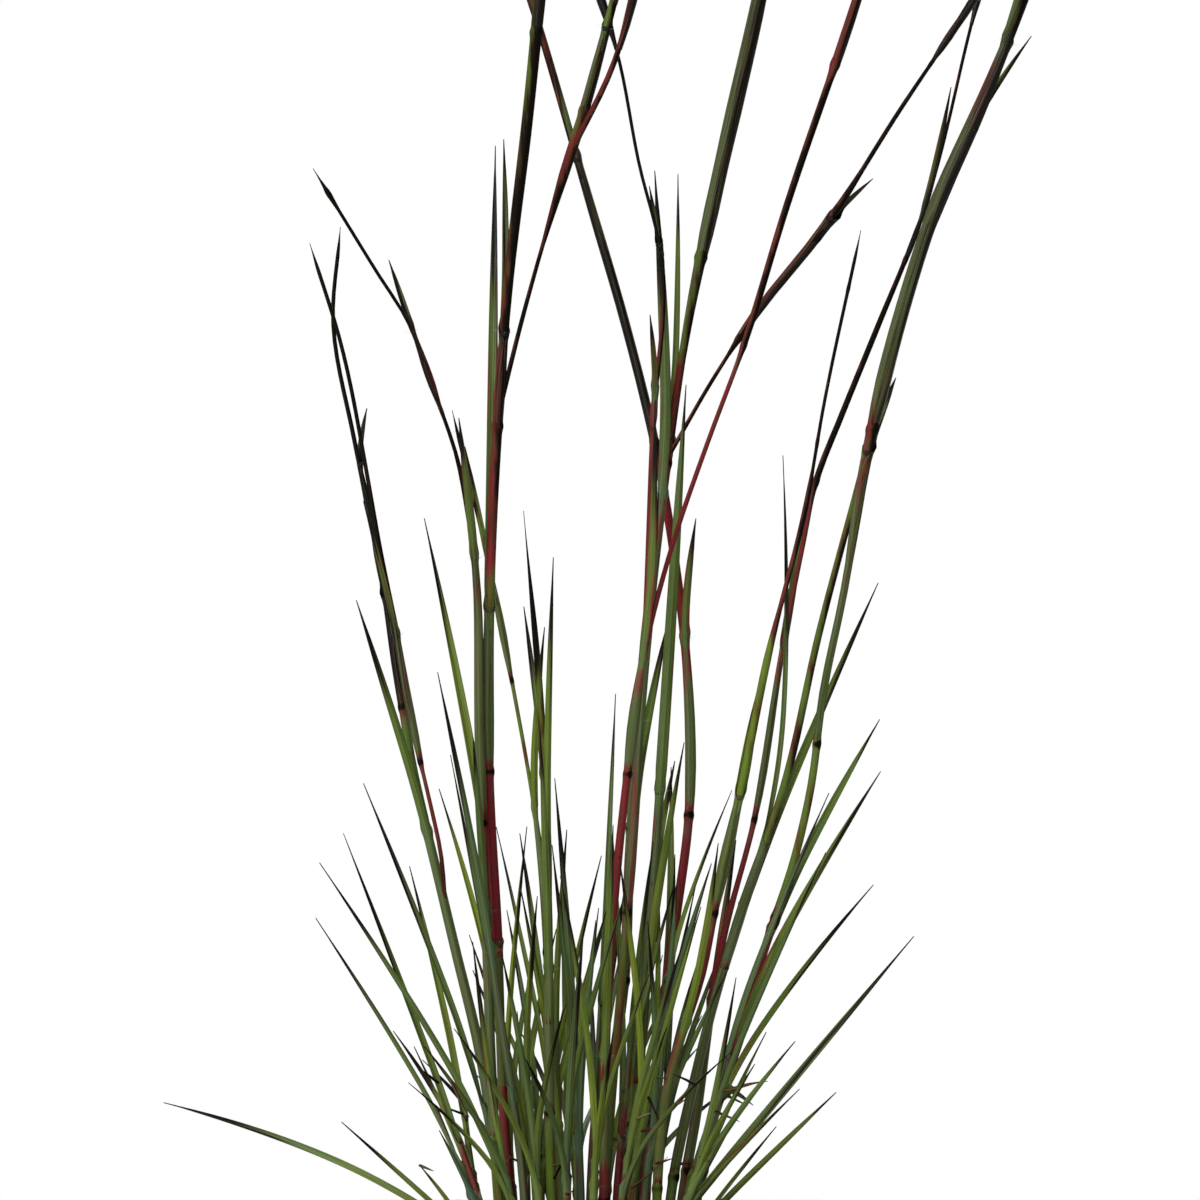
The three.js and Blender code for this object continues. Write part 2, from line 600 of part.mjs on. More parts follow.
/** The line of a blade from its collar to its tip, and its reach. */
function bladeLine(axis, collar, tip, width, bow, lean) {
  const { at, ahead } = crossing(axis, POT_HEIGHT + collar - BLADE_ROOT_SINK);
  const end = raised(tip);
  end.y += lean;
  const rib = midrib(at, ahead, end, bow);
  const reach = rib.alongs.map((along) => BLADE_ROOM * width * Math.max(bladeShare(along), BLADE_ROOM_LEAST));
  return { ...rib, reach, ahead };
}

/** The sunk foot that every stem of the clump starts from, upright through its hole in the soil. */
function footLine([x, y]) {
  const surface = POT_HEIGHT - SOIL_DROP;
  return [new THREE.Vector3(x, y, surface - ROOT_DEPTH), new THREE.Vector3(x, y, surface + FOOT_RISE)];
}

/** How far a blade turns about its midrib: alternately left and right, by a share that never repeats. */
function twistOf(count) {
  const share = (count * GOLDEN_SHARE) % 1;
  return (TWIST_LEAST + TWIST_RANGE * share) * (count % 2 === 0 ? 1 : -1);
}

let bladeCount = 0;

/** A culm of a stem with its sheaths, joints and forks: first all its culms are laid, then its blades. */
function layCulms(owner, spec, start) {
  const leaves = spec.leaves;
  const line = bendClear(owner, (lean) => culmLine(start, spec.run, spec.girth, leaves, lean));
  const forks = (spec.forks ?? []).map((fork) => {
    const origin = crossing(line.points, POT_HEIGHT + fork.from).at;
    return layCulms(owner, fork, [origin]);
  });
  return { line, leaves, forks };
}

/** The radius of a culm's rod at a height: bare, or clad by a sheath, and swollen at a joint. */
function cladRadius(line, leaves, height) {
  const bare = girthAt(line.girth, height);
  const clad = leaves.map(([joint, collar, , , , , girth = SHEATH_RADIUS]) => {
    const share = (height - POT_HEIGHT - joint) / (collar - joint);
    return share > 0 && share <= 1 ? girth * (1 - (1 - SHEATH_TAPER) * share) : 0;
  });
  const swollen = leaves.map(([joint, , , , , , girth = SHEATH_RADIUS]) => (
    Math.abs(height - POT_HEIGHT - joint) < 0.01 ? girth * JOINT_SWELL : 0
  ));
  return Math.max(bare, ...clad, ...swollen);
}

/** The rod of a culm, with a ring where each sheath starts at its joint and ends at its collar. */
function cladRod(line, leaves) {
  const bottom = line.points[0].z + FIRST_RING;
  const top = line.points.at(-1).z - LAST_RING;
  const extra = leaves.flatMap(([joint, collar]) => [
    ...(joint > JOINT_LEAST ? [joint - JOINT_LENGTH / 2, joint, joint + JOINT_LENGTH / 2] : []),
    collar,
    collar + COLLAR_LIP,
  ]).map((height) => POT_HEIGHT + height).filter((height) => height > bottom && height < top);
  const keys = line.girth.map(([height]) => POT_HEIGHT + height)
    .filter((height) => height > bottom && height < top);
  const kept = [...line.points.map((point) => point.z), ...keys]
    .filter((height) => extra.every((other) => Math.abs(other - height) > RING_SPACE));
  const heights = [...kept, ...extra].sort((a, b) => a - b)
    .filter((height, index, all) => index === 0 || height - all[index - 1] > RING_LEAST);
  const points = heights.map((height) => crossing(line.points, height).at);
  return rod(points, heights.map((height) => cladRadius(line, leaves, height)));
}

/** The solids of a culm and all that grows from it. */
function growCulm(owner, culm) {
  const { line, leaves, forks } = culm;
  const solids = [solidOf(cladRod(line, leaves))];
  for (const [, collar, x, y, height, width] of leaves) {
    const twist = twistOf(bladeCount);
    bladeCount += 1;
    const tip = [x, y, height];
    const rib = bendClear(owner, (lean) => bladeLine(line.points, collar, tip, width, BLADE_BOW, lean));
    solids.push(solidOf(blade(rib, width, twist)));
  }
  for (const fork of forks) {
    solids.push(...growCulm(owner, fork));
  }
  return solids;
}

/** The sheath of a leafy shoot, from the soil to its neck. */
function shootLine(shoot, lean) {
  const points = [...footLine(shoot.foot), raised(shoot.neck)];
  points[2].y += NECK_LEAN * lean;
  const radii = [SHOOT_RADIUS, SHOOT_RADIUS, NECK_RADIUS];
  return { points, radii, reach: radii };
}

/** The solids of a leafy shoot: its sheath, and its blades rooted one above the other. */
function growShoot(owner, shoot, line) {
  const solids = [solidOf(rod(line.points, line.radii))];
  shoot.tips.forEach(([x, y, height, width, bow = BLADE_BOW], index) => {
    const share = LOWEST_COLLAR + ((1 - LOWEST_COLLAR) * index) / (shoot.tips.length - 1);
    const collar = THREE.MathUtils.lerp(-SOIL_DROP, shoot.neck[2], share);
    const twist = twistOf(bladeCount);
    bladeCount += 1;
    const rib = bendClear(owner, (lean) => bladeLine(line.points, collar, [x, y, height], width, bow, lean));
    solids.push(solidOf(blade(rib, width, twist)));
  });
  return solids;
}

/** Joins the solids of one stem into one body. */
function fuse(solids) {
  return solids.reduce((whole, next) => whole.add(next));
}

/** Plain moulded nursery pot with a rolled rim, a step below it, and drain holes round its foot. */
function makePot() {
  const outer = (height) => THREE.MathUtils.mapLinear(height, 0, POT_HEIGHT, POT_FOOT_RADIUS, POT_MOUTH_RADIUS);
  const stepTop = POT_HEIGHT - STEP_DROP;
  const profile = [
    [0, 0],
    [outer(0) - EDGE_EASE, 0],
    [outer(0), EDGE_EASE],
    [outer(stepTop), stepTop],
    [outer(stepTop) + STEP_DEPTH, stepTop + STEP_DEPTH],
    [outer(POT_HEIGHT - RIM_BAND) + STEP_DEPTH, POT_HEIGHT - RIM_BAND],
    [outer(POT_HEIGHT) + RIM_OVERHANG, POT_HEIGHT - RIM_BAND + LIP_RISE],
    [outer(POT_HEIGHT) + RIM_OVERHANG, POT_HEIGHT - EDGE_EASE],
    [outer(POT_HEIGHT) + RIM_OVERHANG - EDGE_EASE, POT_HEIGHT],
    [outer(POT_HEIGHT) - POT_WALL + EDGE_EASE, POT_HEIGHT],
    [outer(POT_HEIGHT) - POT_WALL, POT_HEIGHT - EDGE_EASE],
    [outer(POT_FLOOR) - POT_WALL, POT_FLOOR],
    [0, POT_FLOOR],
  ].map(([radius, height]) => new THREE.Vector2(radius, height));
  const body = new THREE.LatheGeometry(profile, POT_SIDES);
  body.rotateX(Math.PI / 2);
  let pot = solidOf(body);
  for (let hole = 0; hole < DRAIN_HOLES; hole += 1) {
    const drill = new THREE.CylinderGeometry(DRAIN_RADIUS, DRAIN_RADIUS, DRILL_LENGTH, DRILL_SIDES);
    drill.rotateZ(Math.PI / 2);
    drill.translate(POT_FOOT_RADIUS, 0, DRAIN_RADIUS + POT_FLOOR + DRAIN_RISE);
    drill.rotateZ((2 * Math.PI * (hole + 0.5)) / DRAIN_HOLES);
    pot = pot.subtract(solidOf(drill));
  }
  return pot;
}

/** Potting mix up to below the rim, flat in the middle, with a plain blind hole for each stem. */
function makeSoil(feet) {
  const outer = (height) => THREE.MathUtils.mapLinear(height, 0, POT_HEIGHT, POT_FOOT_RADIUS, POT_MOUTH_RADIUS);
  const inner = (height) => outer(height) - POT_WALL - SIDE_GAP;
  const top = POT_HEIGHT - SOIL_DROP;
  const bottom = POT_FLOOR + SEAT_GAP;
  const profile = [
    [0, bottom],
    [inner(bottom), bottom],
    [inner(top - SOIL_SLOPE), top - SOIL_SLOPE],
    [SOIL_FLAT_RADIUS, top],
    [0, top],
  ].map(([radius, height]) => new THREE.Vector2(radius, height));
  const body = new THREE.LatheGeometry(profile, POT_SIDES);
  body.rotateX(Math.PI / 2);
  let soil = solidOf(body);
  for (const { foot: [x, y], radius } of feet) {
    const deep = ROOT_DEPTH + SEAT_GAP;
    const wide = radius + HOLE_ROOM;
    const drill = new THREE.CylinderGeometry(wide, wide, deep + DRILL_ABOVE, HOLE_SIDES);
    drill.rotateX(Math.PI / 2);
    drill.translate(x, y, top - deep + (deep + DRILL_ABOVE) / 2);
    soil = soil.subtract(solidOf(drill));
  }
  return soil;
}

/** A named scene-graph mesh with its own finish. */
function meshOf(name, solid, color, roughness) {
  const mesh = new THREE.Mesh(
    geometryOf(solid),
    new THREE.MeshStandardMaterial({ color, roughness, metalness: 0 }),
  );
  mesh.name = name;
  return mesh;
}

const numbered = (word, index) => `${word}_${String(index + 1).padStart(2, '0')}`;

const culms = TALL_STEMS.map((spec, index) => layCulms(numbered('tall_stem', index), spec, footLine(spec.foot)));
const shoots = LEAFY_SHOOTS.map((shoot, index) => (
  bendClear(numbered('leafy_shoot', index), (lean) => shootLine(shoot, lean))
));

const plant = new THREE.Group();
culms.forEach((culm, index) => {
  const name = numbered('tall_stem', index);
  const solid = fuse(growCulm(name, culm));
  plant.add(meshOf(name, solid, GREENS[index % GREENS.length], GRASS_ROUGHNESS));
});
LEAFY_SHOOTS.forEach((shoot, index) => {
  const name = numbered('leafy_shoot', index);
  const solid = fuse(growShoot(name, shoot, shoots[index]));
  plant.add(meshOf(name, solid, GREENS[(index + 2) % GREENS.length], GRASS_ROUGHNESS));
});

const feet = [
  ...TALL_STEMS.map((spec) => ({ foot: spec.foot, radius: Math.max(spec.girth[0][1], SHEATH_RADIUS) })),
  ...LEAFY_SHOOTS.map((shoot) => ({ foot: shoot.foot, radius: SHOOT_RADIUS })),
];

const part = new THREE.Group();
part.add(meshOf('pot', makePot(), POT_BLACK, POT_ROUGHNESS));
part.add(meshOf('soil', makeSoil(feet), SOIL_BROWN, SOIL_ROUGHNESS));
part.add(plant);

export default part;
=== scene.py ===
"""
Potted little bluestem: the looks of an upright clump of prairie grass in a plain nursery pot.

Plant, soil and pot are worked out in millimetres, from the same two tables and the same growing rules as
the solids, and every fine piece replaces the plain solid that it dresses. A leaf is one sheet: it starts
as a sheath rolled round its stem, opens at the collar and runs on as a cupped, slowly turning blade.
"""
import itertools
import math
import bpy
import mathutils
import numpy as np
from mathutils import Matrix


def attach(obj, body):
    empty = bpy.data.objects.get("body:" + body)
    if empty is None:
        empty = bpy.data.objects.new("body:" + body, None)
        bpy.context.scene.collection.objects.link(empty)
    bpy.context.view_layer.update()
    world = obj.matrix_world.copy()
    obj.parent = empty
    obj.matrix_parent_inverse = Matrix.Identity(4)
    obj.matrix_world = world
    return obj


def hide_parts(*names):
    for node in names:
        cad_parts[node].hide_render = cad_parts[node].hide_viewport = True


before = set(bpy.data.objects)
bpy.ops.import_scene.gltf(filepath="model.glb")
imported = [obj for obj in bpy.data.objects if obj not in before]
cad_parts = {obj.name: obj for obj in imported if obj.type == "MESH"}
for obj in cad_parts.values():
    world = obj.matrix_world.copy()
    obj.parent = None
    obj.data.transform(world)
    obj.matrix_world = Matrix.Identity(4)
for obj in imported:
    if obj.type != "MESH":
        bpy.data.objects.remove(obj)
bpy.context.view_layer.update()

METRE = 0.001
UP = np.array([0.0, 0.0, 1.0])

# Pot and soil, as in the solids
POT_HEIGHT = 165.0
POT_MOUTH_RADIUS = 78.0
POT_FOOT_RADIUS = 64.0
POT_WALL = 1.8
POT_FLOOR = 2.4
RIM_OVERHANG = 4.5
RIM_BAND = 9.0
STEP_DROP = 34.0
STEP_DEPTH = 1.2
EDGE_EASE = 1.5
DRAIN_HOLES = 6
DRAIN_RADIUS = 6.0
DRAIN_RISE = 2.0
SOIL_DROP = 15.0
SOIL_SLOPE = 3.0
SOIL_FLAT_RADIUS = 48.0
SEAT_GAP = 0.3
SIDE_GAP = 0.5
SOIL_TOP = POT_HEIGHT - SOIL_DROP

# Growing rules, as in the solids
ROOT_DEPTH = 9.0
FOOT_RISE = 1.0
NECK_LEAN = 0.3
SHOOT_RADIUS = 2.1
NECK_RADIUS = 1.6
SHEATH_RADIUS = 2.1
SHEATH_TAPER = 0.8
JOINT_LEAST = 12.0
LOWEST_COLLAR = 0.55
BLADE_ROOT_SHARE = 0.7
BLADE_WIDENING = 2.4
BLADE_TAPER = 2.4
BLADE_BOW = 0.25
BLADE_ROOT_SINK = 4.0
BLADE_STEP_LENGTH = 34.0
BLADE_LEAST_STEPS = 2
BLADE_MOST_STEPS = 6
BLADE_APEX_START = 0.94
TWIST_LEAST = 0.55
TWIST_RANGE = 0.75
GOLDEN_SHARE = 0.618034
BEND_LEAST = 0.02
STEM_GAP = 0.5
CULM_ROOM = 1.05
SHEATH_MARGIN = 45.0
BLADE_ROOM = 0.58
BLADE_ROOM_LEAST = 0.3
BEND_STEP = 4.0
BEND_TRIES = 30
LEAN_POWER = 1.2
PARALLEL = 1e-9

# Flowering stems: foot, girth as (height, radius), line of the culm, and leaves as
# (height of joint, height of collar, tip x, tip y, tip height, blade width, sheath radius).
TALL_STEMS = [
    {
        "foot": (-31, 13),
        "girth": [(-14, 1.7), (150, 1.5), (230, 1.2), (245, 0.75), (342, 0.6)],
        "run": [(-38, 18, 48), (-48, 24, 90), (-58, 30, 132), (-63, 33, 154), (-66.3, 37, 174),
                (-75, 44, 228), (-84, 50, 270), (-92, 58, 316), (-90, 62, 342)],
        "leaves": [(6, 130, -82, 8, 210, 2.2), (174, 214, -78, 58, 236, 1.7, 1.8),
                   (236, 262, -80, 66, 283, 1.5, 1.3)],
        "forks": [{
            "from": 102,
            "girth": [(102, 0.7), (150, 0.6), (156, 0.9), (200, 1.2), (212, 1), (250, 0.65), (334, 0.6)],
            "run": [(-52.6, 25, 122), (-56, 25, 138), (-60, 26, 155), (-64, 28, 174), (-69, 31, 202),
                    (-74.5, 35, 230), (-79, 38, 256), (-89.5, 40, 307), (-98, 43, 334)],
            "leaves": [(154, 200, -80, 22, 246, 1.5, 1.6)],
        }],
    },
    {
        "foot": (-31, -19),
        "girth": [(-14, 1.7), (150, 1.4), (237, 1), (258, 0.6), (272, 0.55), (340, 0.5), (345, 0.85),
                  (348, 0.85)],
        "run": [(-33, -22, 20), (-38, -32, 153), (-42, -38, 237), (-46.5, -41, 258), (-52, -43.5, 274),
                (-57, -46, 288), (-62, -48, 301), (-74, -53, 320), (-91.5, -61, 348)],
        "leaves": [(20, 100, -40, -58, 158, 2), (130, 222, -45, -60, 268, 2.2, 1.8),
                   (272, 300, -69.7, -38, 325, 1.6, 1.4)],
    },
    {
        "foot": (-13, 13),
        "girth": [(-14, 1.6), (87, 1.2), (130, 0.9), (142, 0.6), (276, 0.6)],
        "run": [(-14, 20, 40), (-18, 34, 125), (-28, 46, 185), (-35, 52, 221), (-48, 62, 276)],
        "leaves": [(87, 138, -16, 15, 201, 1.9, 1.5), (184, 225, -45, 76, 270, 1.6, 1.4)],
    },
    {
        "foot": (-13, -19),
        "girth": [(-14, 1.7), (231, 0.9)],
        "run": [(-14, -24, 30), (-14.5, -33, 104), (-17, -40, 171), (-22.3, -48, 231)],
        "leaves": [(30, 80, -17, -66, 160, 2), (60, 118, -12.5, -60, 220, 1.9, 1.9),
                   (104, 146, -23, -18, 206, 1.8, 1.9)],
    },
    {
        "foot": (-27, -11),
        "girth": [(-14, 1.8), (148, 1.6), (240, 1.6), (267, 1.7), (300, 1.5), (330, 1.7), (360, 1.85),
                  (400, 1.9), (526, 1.5)],
        "run": [(-30, -16, 34), (-32, -24, 90), (-35, -31, 148), (-35, -36, 195), (-33.5, -41, 240),
                (-32, -45, 267), (-28.2, -52, 316), (-21.4, -61, 374), (-17.2, -68, 415), (-10.2, -80, 486),
                (-6, -88, 526)],
        "leaves": [(0, 90, -58, -2, 238, 2.6), (148, 205, -33, -20, 367, 2.8, 2.2),
                   (267, 300, -30, -30, 368, 1.9, 2.1), (402, 442, -24, -94, 500, 2.1, 2.3)],
        "forks": [{
            "from": 271,
            "girth": [(271, 0.8), (330, 0.6), (340, 1), (356, 1.7), (372, 1.8), (392, 1.4), (478, 1.3)],
            "run": [(-24, -40, 302), (-10, -34, 352), (-2, -30, 378), (8, -26, 416), (24, -19, 478)],
            "leaves": [(378, 408, 18, -8, 460, 1.8, 1.9)],
            "forks": [{
                "from": 364,
                "girth": [(364, 1), (460, 0.7)],
                "run": [(7, -40, 390), (18, -48, 428), (25, -53, 460)],
                "leaves": [],
            }],
        }],
    },
    {
        "foot": (19, 21),
        "girth": [(-14, 1.8), (136, 1.5), (344, 1.5), (370, 1.3), (484.5, 1.2)],
        "run": [(25, 31, 60), (30, 37, 97), (35, 44, 136), (34.5, 51, 188), (30, 56, 229), (23, 60, 270),
                (12.3, 64, 314), (-0.2, 68, 357.5), (-16, 74, 413.5), (-37.5, 84, 484.5)],
        "leaves": [(11, 72, 29, 80, 155, 2), (136, 200, 37.5, 36, 241, 2.2, 2.1),
                   (270, 374, -14, 64, 408, 1.6, 1.7)],
    },
    {
        "foot": (5, -19),
        "girth": [(-14, 1.8), (147, 1.3), (187, 1.2), (195, 0.8), (290, 0.7), (297, 0.95), (302, 1.1),
                  (392, 1.2), (400, 1.6), (496, 1.4)],
        "run": [(6, -24, 69), (13, -28, 147), (18.5, -29, 187), (29, -26, 228), (41, -22, 263),
                (53.5, -17, 297), (68.5, -10, 346), (93, 4, 419), (116, 18, 496)],
        "leaves": [(0, 50, 8, -62, 128, 2.2), (147, 187, 22.5, -42, 276, 2.4, 2.2),
                   (398, 440, 108, -4, 486, 2, 1.9)],
    },
    {
        "foot": (5, 13),
        "girth": [(-14, 1.8), (264, 1.6), (300, 1.3), (320, 1.6), (344, 2.1), (368, 2.5), (392, 2.8),
                  (420, 2.7), (535, 1.6)],
        "run": [(7, 19, 38), (12, 26, 77), (14, 33, 122), (21, 46, 209), (27, 53, 260), (35.7, 61, 317),
                (46.1, 69, 367), (59, 78, 424), (83, 98, 535)],
        "leaves": [(77, 132, 28.5, 66, 209, 2.6), (150, 252, 23, 44, 366, 3, 2.1),
                   (262, 272, 31.7, 88, 370, 1.7, 2), (337, 440, 72, 68, 504, 2.4, 2.8)],
        "forks": [{
            "from": 264,
            "girth": [(264, 0.7), (300, 0.6), (308, 1.2), (320, 1.4), (338, 1.6), (346, 1.8), (354, 1.2),
                      (366, 0.75), (392, 0.7), (405, 0.55), (412, 1), (475, 1)],
            "run": [(44.5, 49, 293), (59.3, 46, 315.3), (81.2, 43, 342.5), (111.2, 39, 388.5),
                    (135, 36, 424), (165.5, 32, 475)],
            "leaves": [(306, 350, 101, 52, 364, 1.5, 1.7), (404, 428, 148, 50, 460, 1.8, 1.5)],
        }],
    },
    {
        "foot": (31, 13),
        "girth": [(-14, 1.7), (80, 1.4), (110, 0.9), (197, 0.9), (205, 0.75), (250, 0.75), (256, 1.05),
                  (310, 0.95), (345, 0.7), (368, 0.5), (484, 0.5)],
        "run": [(38, 20, 34), (46, 27, 88), (58, 34, 134), (69, 42, 199), (76, 47, 234), (80.5, 50, 255.5),
                (90, 53, 280), (102.6, 57, 311), (119, 63, 352), (136.5, 71, 419.5), (152.5, 80, 484)],
        "leaves": [(10, 70, 52, 62, 128, 2), (134, 197, 77, 56, 248, 2.2, 1.4),
                   (336, 354, 129, 52, 397, 1.8, 1.1)],
    },
    {
        "foot": (32, -3),
        "girth": [(-14, 1.8), (130, 1.3), (190, 1.15), (222, 1.2), (236, 1.7), (267, 1.9), (380, 1.9),
                  (404, 1.7), (525, 1.6)],
        "run": [(45.5, -8, 38), (61, -13, 88), (71, -16, 118), (76, -18, 139), (81.5, -21, 178),
                (88, -23, 209), (97, -25, 262), (109, -28, 310), (119, -31, 341), (137, -34, 382),
                (151, -37, 417), (183, -46, 525)],
        "leaves": [(32, 37, 61.5, -24, 41, 1.4, 1.9), (34, 41, 57, 6, 33, 1.4, 1.9),
                   (8, 60, 100, -48, 147, 2.4), (50, 95, 101.5, 6, 168, 2.2),
                   (158, 260, 107, -6, 287, 2.4, 1.4), (267, 372, 154, -24, 405, 1.7, 2.8),
                   (330, 402, 158, -62, 466, 2.4, 3)],
    },
    {
        "foot": (27, 5),
        "girth": [(-14, 1.7), (300, 0.9)],
        "run": [(38, 7, 48), (54, 9, 104), (67.5, 10, 143), (80.5, 7, 199), (94, 0, 250), (107, -8, 300)],
        "leaves": [(8, 104, 102, 34, 218, 2.4), (80, 125, 68, 20, 262, 1.4)],
    },
    {
        "foot": (23, -19),
        "girth": [(-14, 1.6), (99, 1.2), (150, 1.3), (185, 1.3), (204, 0.75), (244, 0.9), (250, 0.5),
                  (328, 0.5)],
        "run": [(27, -22, 40), (39.5, -27, 81), (43, -28, 99), (54, -32, 150), (61, -36, 185),
                (74.8, -42, 240), (81, -44, 275), (92.3, -49, 328)],
        "leaves": [(4, 62, 44, -58, 122, 2), (99, 140, 58, -16, 176, 3, 2.4)],
    },
    {
        "foot": (5, -3),
        "girth": [(-14, 1.7), (270, 0.8), (332, 0.7), (336, 0.5), (468, 0.5)],
        "run": [(13, 0, 100), (19, 4, 190), (22, 7, 270), (25, 10, 332), (17.2, 13, 365), (10, 17, 403),
                (-12, 26, 468)],
        "leaves": [(100, 168, 24, -16, 246, 2.2, 1.9), (270, 284, 21, -8, 309, 1.6, 1.5),
                   (330, 336, 21, 24, 358, 1.4, 1.2)],
    },
    {
        "foot": (14, 13),
        "girth": [(-14, 1.8), (150, 1.4)],
        "run": [(20, 17, 80), (25, 21, 150)],
        "leaves": [(0, 76, 33, 6, 160, 2.2), (40, 112, 30, 38, 155, 2), (80, 144, 34, 30, 288, 3, 1.9)],
    },
]

# Leafy shoots: foot, neck of the sheath, and tips as (x, y, height, blade width, bow).
LEAFY_SHOOTS = [
    ((-36, 5), (-46, 9, 22), [(-62, 32, 54, 1.6), (-87, 28, 129, 2.6, 0.12)]),
    ((-37, -12), (-45, -16, 14), [(-52, -30, 24, 1.6), (-94.5, -38, 97, 1.8, 0.2)]),
    ((-39, 13), (-44, 18, 30), [(-70, 58, 60, 2), (-64, 44, 118, 2.4)]),
    ((-27, 5), (-32, 6, 64), [(-22, -4, 130, 2), (-53, 12, 144, 2.2)]),
    ((-22, -19), (-34, -36, 86), [(-48, -44, 153, 1.8), (-52, -68, 180, 2.2)]),
    ((-41, -3), (-49, -4, -8), [(-59, -14, 12, 1.6, 0.35), (-86, -20, 27, 1.8, 0.15),
                                (-149, 8, 34, 2.2, 0.42)]),
    ((-28, -3), (-37, -5, 34), [(-94, -14, 117, 2.2, 0.2), (-79, -6, 145, 2.4, 0.2)]),
    ((-22, 13), (-23, 17, 32), [(-26, 62, 67, 2), (-42, 74, 82, 2), (-12, 50, 96, 2.2)]),
    ((-9, 4), (-15, 11, 58), [(-33, 22, 131, 1.8), (-25, 52, 130, 2.2)]),
    ((-3, -11), (-5, -16, 50), [(3, -50, 100, 2.2), (-13, -42, 122, 2.2), (-12, -62, 144, 2.4)]),
    ((-18, -3), (-13, -6, 42), [(6, 6, 102, 2.4), (4, -34, 119, 2)]),
    ((0, 6), (4, 11, 70), [(14, 46, 120, 2), (9, 24, 178, 2)]),
    ((14, -3), (26, -8, 62), [(37, 10, 110, 2), (42, -32, 116, 2.2)]),
    ((18, 5), (27, 9, 78), [(24, 30, 120, 2), (50, 24, 144, 1.8)]),
    ((34, -10), (47, -20, 50), [(81, -52, 119, 2), (83, -4, 141, 2)]),
    ((36, 5), (43, 9, 28), [(62, 28, 59, 1.6), (56, 48, 61, 1.6), (100, 32, 111, 2.4)]),
    ((27, -12), (35, -16, -1), [(52, -36, 32, 1.8), (72, -46, 38, 1.8), (94, -38, 70, 2, 0.1),
                                (112, -28, 91, 2.8, 0.12)]),
    ((35, 21), (45, 27, -2), [(66, 52, 26, 1.5), (87, 42, 38, 2.2)]),
    ((-17, -27), (-19, -33, 20), [(-46, -84, 58, 2), (-8, -96, 66, 2.2), (-30, -78, 84, 2.2)]),
    ((-8, -27), (-8, -34, 24), [(-22, -100, 48, 2), (-2, -86, 92, 2.4), (12, -70, 104, 2.2)]),
    ((1, -28), (2, -36, 22), [(8, -112, 56, 2.2), (20, -92, 76, 2), (-10, -66, 110, 2.4)]),
    ((10, -26), (14, -33, 22), [(48, -80, 50, 2), (26, -102, 58, 2), (32, -76, 88, 2.4)]),
    ((14, -18), (18, -23, 36), [(38, -62, 100, 2.2), (10, -50, 118, 2.2)]),
    ((-25, -26), (-30, -33, 14), [(-62, -62, 40, 2), (-56, -80, 52, 2), (-40, -62, 88, 2.2)]),
    ((-26, 21), (-29, 27, 22), [(-60, 76, 50, 2), (-20, 96, 88, 2.2), (-48, 76, 82, 2.2)]),
    ((-17, 21), (-18, 28, 26), [(-4, 98, 78, 2), (-30, 88, 104, 2.2)]),
    ((-8, 21), (-8, 30, 28), [(-26, 112, 62, 2), (6, 78, 92, 2.2), (-10, 92, 110, 2.4)]),
    ((1, 21), (2, 30, 30), [(0, 106, 82, 2.2), (15, 88, 104, 2.2)]),
    ((10, 22), (13, 31, 28), [(40, 100, 56, 2), (26, 96, 88, 2.2), (21, 70, 112, 2.2)]),
    ((-4, 29), (-5, 38, 16), [(-16, 122, 58, 2.2), (10, 126, 46, 2), (2, 80, 100, 2.2)]),
    ((5, 30), (7, 39, 18), [(20, 118, 60, 2.2), (30, 84, 78, 2.2)]),
    ((-13, 29), (-15, 37, 16), [(-42, 94, 46, 2), (-34, 106, 70, 2.2)]),
    ((14, 29), (18, 37, 16), [(50, 92, 40, 2), (40, 86, 66, 2.2)]),
    ((-10, -10), (-12, -13, 60), [(-24, -40, 108, 2.2), (-8, -26, 128, 2.2)]),
    ((9, 4), (14, 6, 55), [(8, 30, 128, 2.2), (30, 40, 112, 2), (22, -22, 124, 2.2)]),
    ((18, -10), (24, -14, 40), [(48, -44, 80, 2), (20, -30, 96, 2), (30, -52, 110, 2.2)]),
    ((-18, -11), (-22, -15, 40), [(-42, -44, 92, 2.2), (-18, -52, 104, 2.2)]),
    ((23, 13), (27, 17, 46), [(48, 50, 92, 2.2), (38, 62, 84, 2), (30, 40, 122, 2.2)]),
    ((-4, 13), (-5, 18, 55), [(-10, 50, 122, 2.2), (8, 56, 108, 2.2)]),
    ((31, -21), (38, -27, 14), [(70, -68, 54, 2.2), (56, -82, 46, 2), (50, -60, 76, 2.2)]),
]


def unit(vectors):
    """Each vector brought to length one."""
    return vectors / np.linalg.norm(vectors, axis=-1, keepdims=True)


def ease(x):
    """0 up to 0, 1 from 1 on, and an even S between them: 3 x squared less 2 x cubed."""
    x = np.clip(x, 0.0, 1.0)
    return x * x * (3.0 - 2.0 * x)


def past(value, limits):
    """How far a value has gone from the first limit, 0, to the second, 1, as an even S."""
    return ease((value - limits[0]) / (limits[1] - limits[0]))


def draw(count, salt=0.0):
    """A share between 0 and 1 that never repeats along the count."""
    return (count * GOLDEN_SHARE + salt) % 1.0


def pick(count, salt, limits):
    """A value between two limits that never repeats along the count."""
    low, high = limits
    return low + (high - low) * draw(count, salt)


def bezier(start, control, end, share):
    """The quadratic Bezier from start to end that leaves and arrives in line with its control point."""
    return start * (1 - share) ** 2 + control * 2 * share * (1 - share) + end * share ** 2


# Growing: the same lines as the solids

placed = {"start": np.zeros((0, 3)), "end": np.zeros((0, 3)), "reach": np.zeros(0), "owner": []}


def crossing(points, height):
    """Where a rising line passes a height, and its direction there."""
    index = int(np.searchsorted(points[1:-1, 2], height))
    low, high = points[index], points[index + 1]
    share = np.clip((height - low[2]) / (high[2] - low[2]), 0.0, 1.0)
    return low + (high - low) * share, unit(high - low)


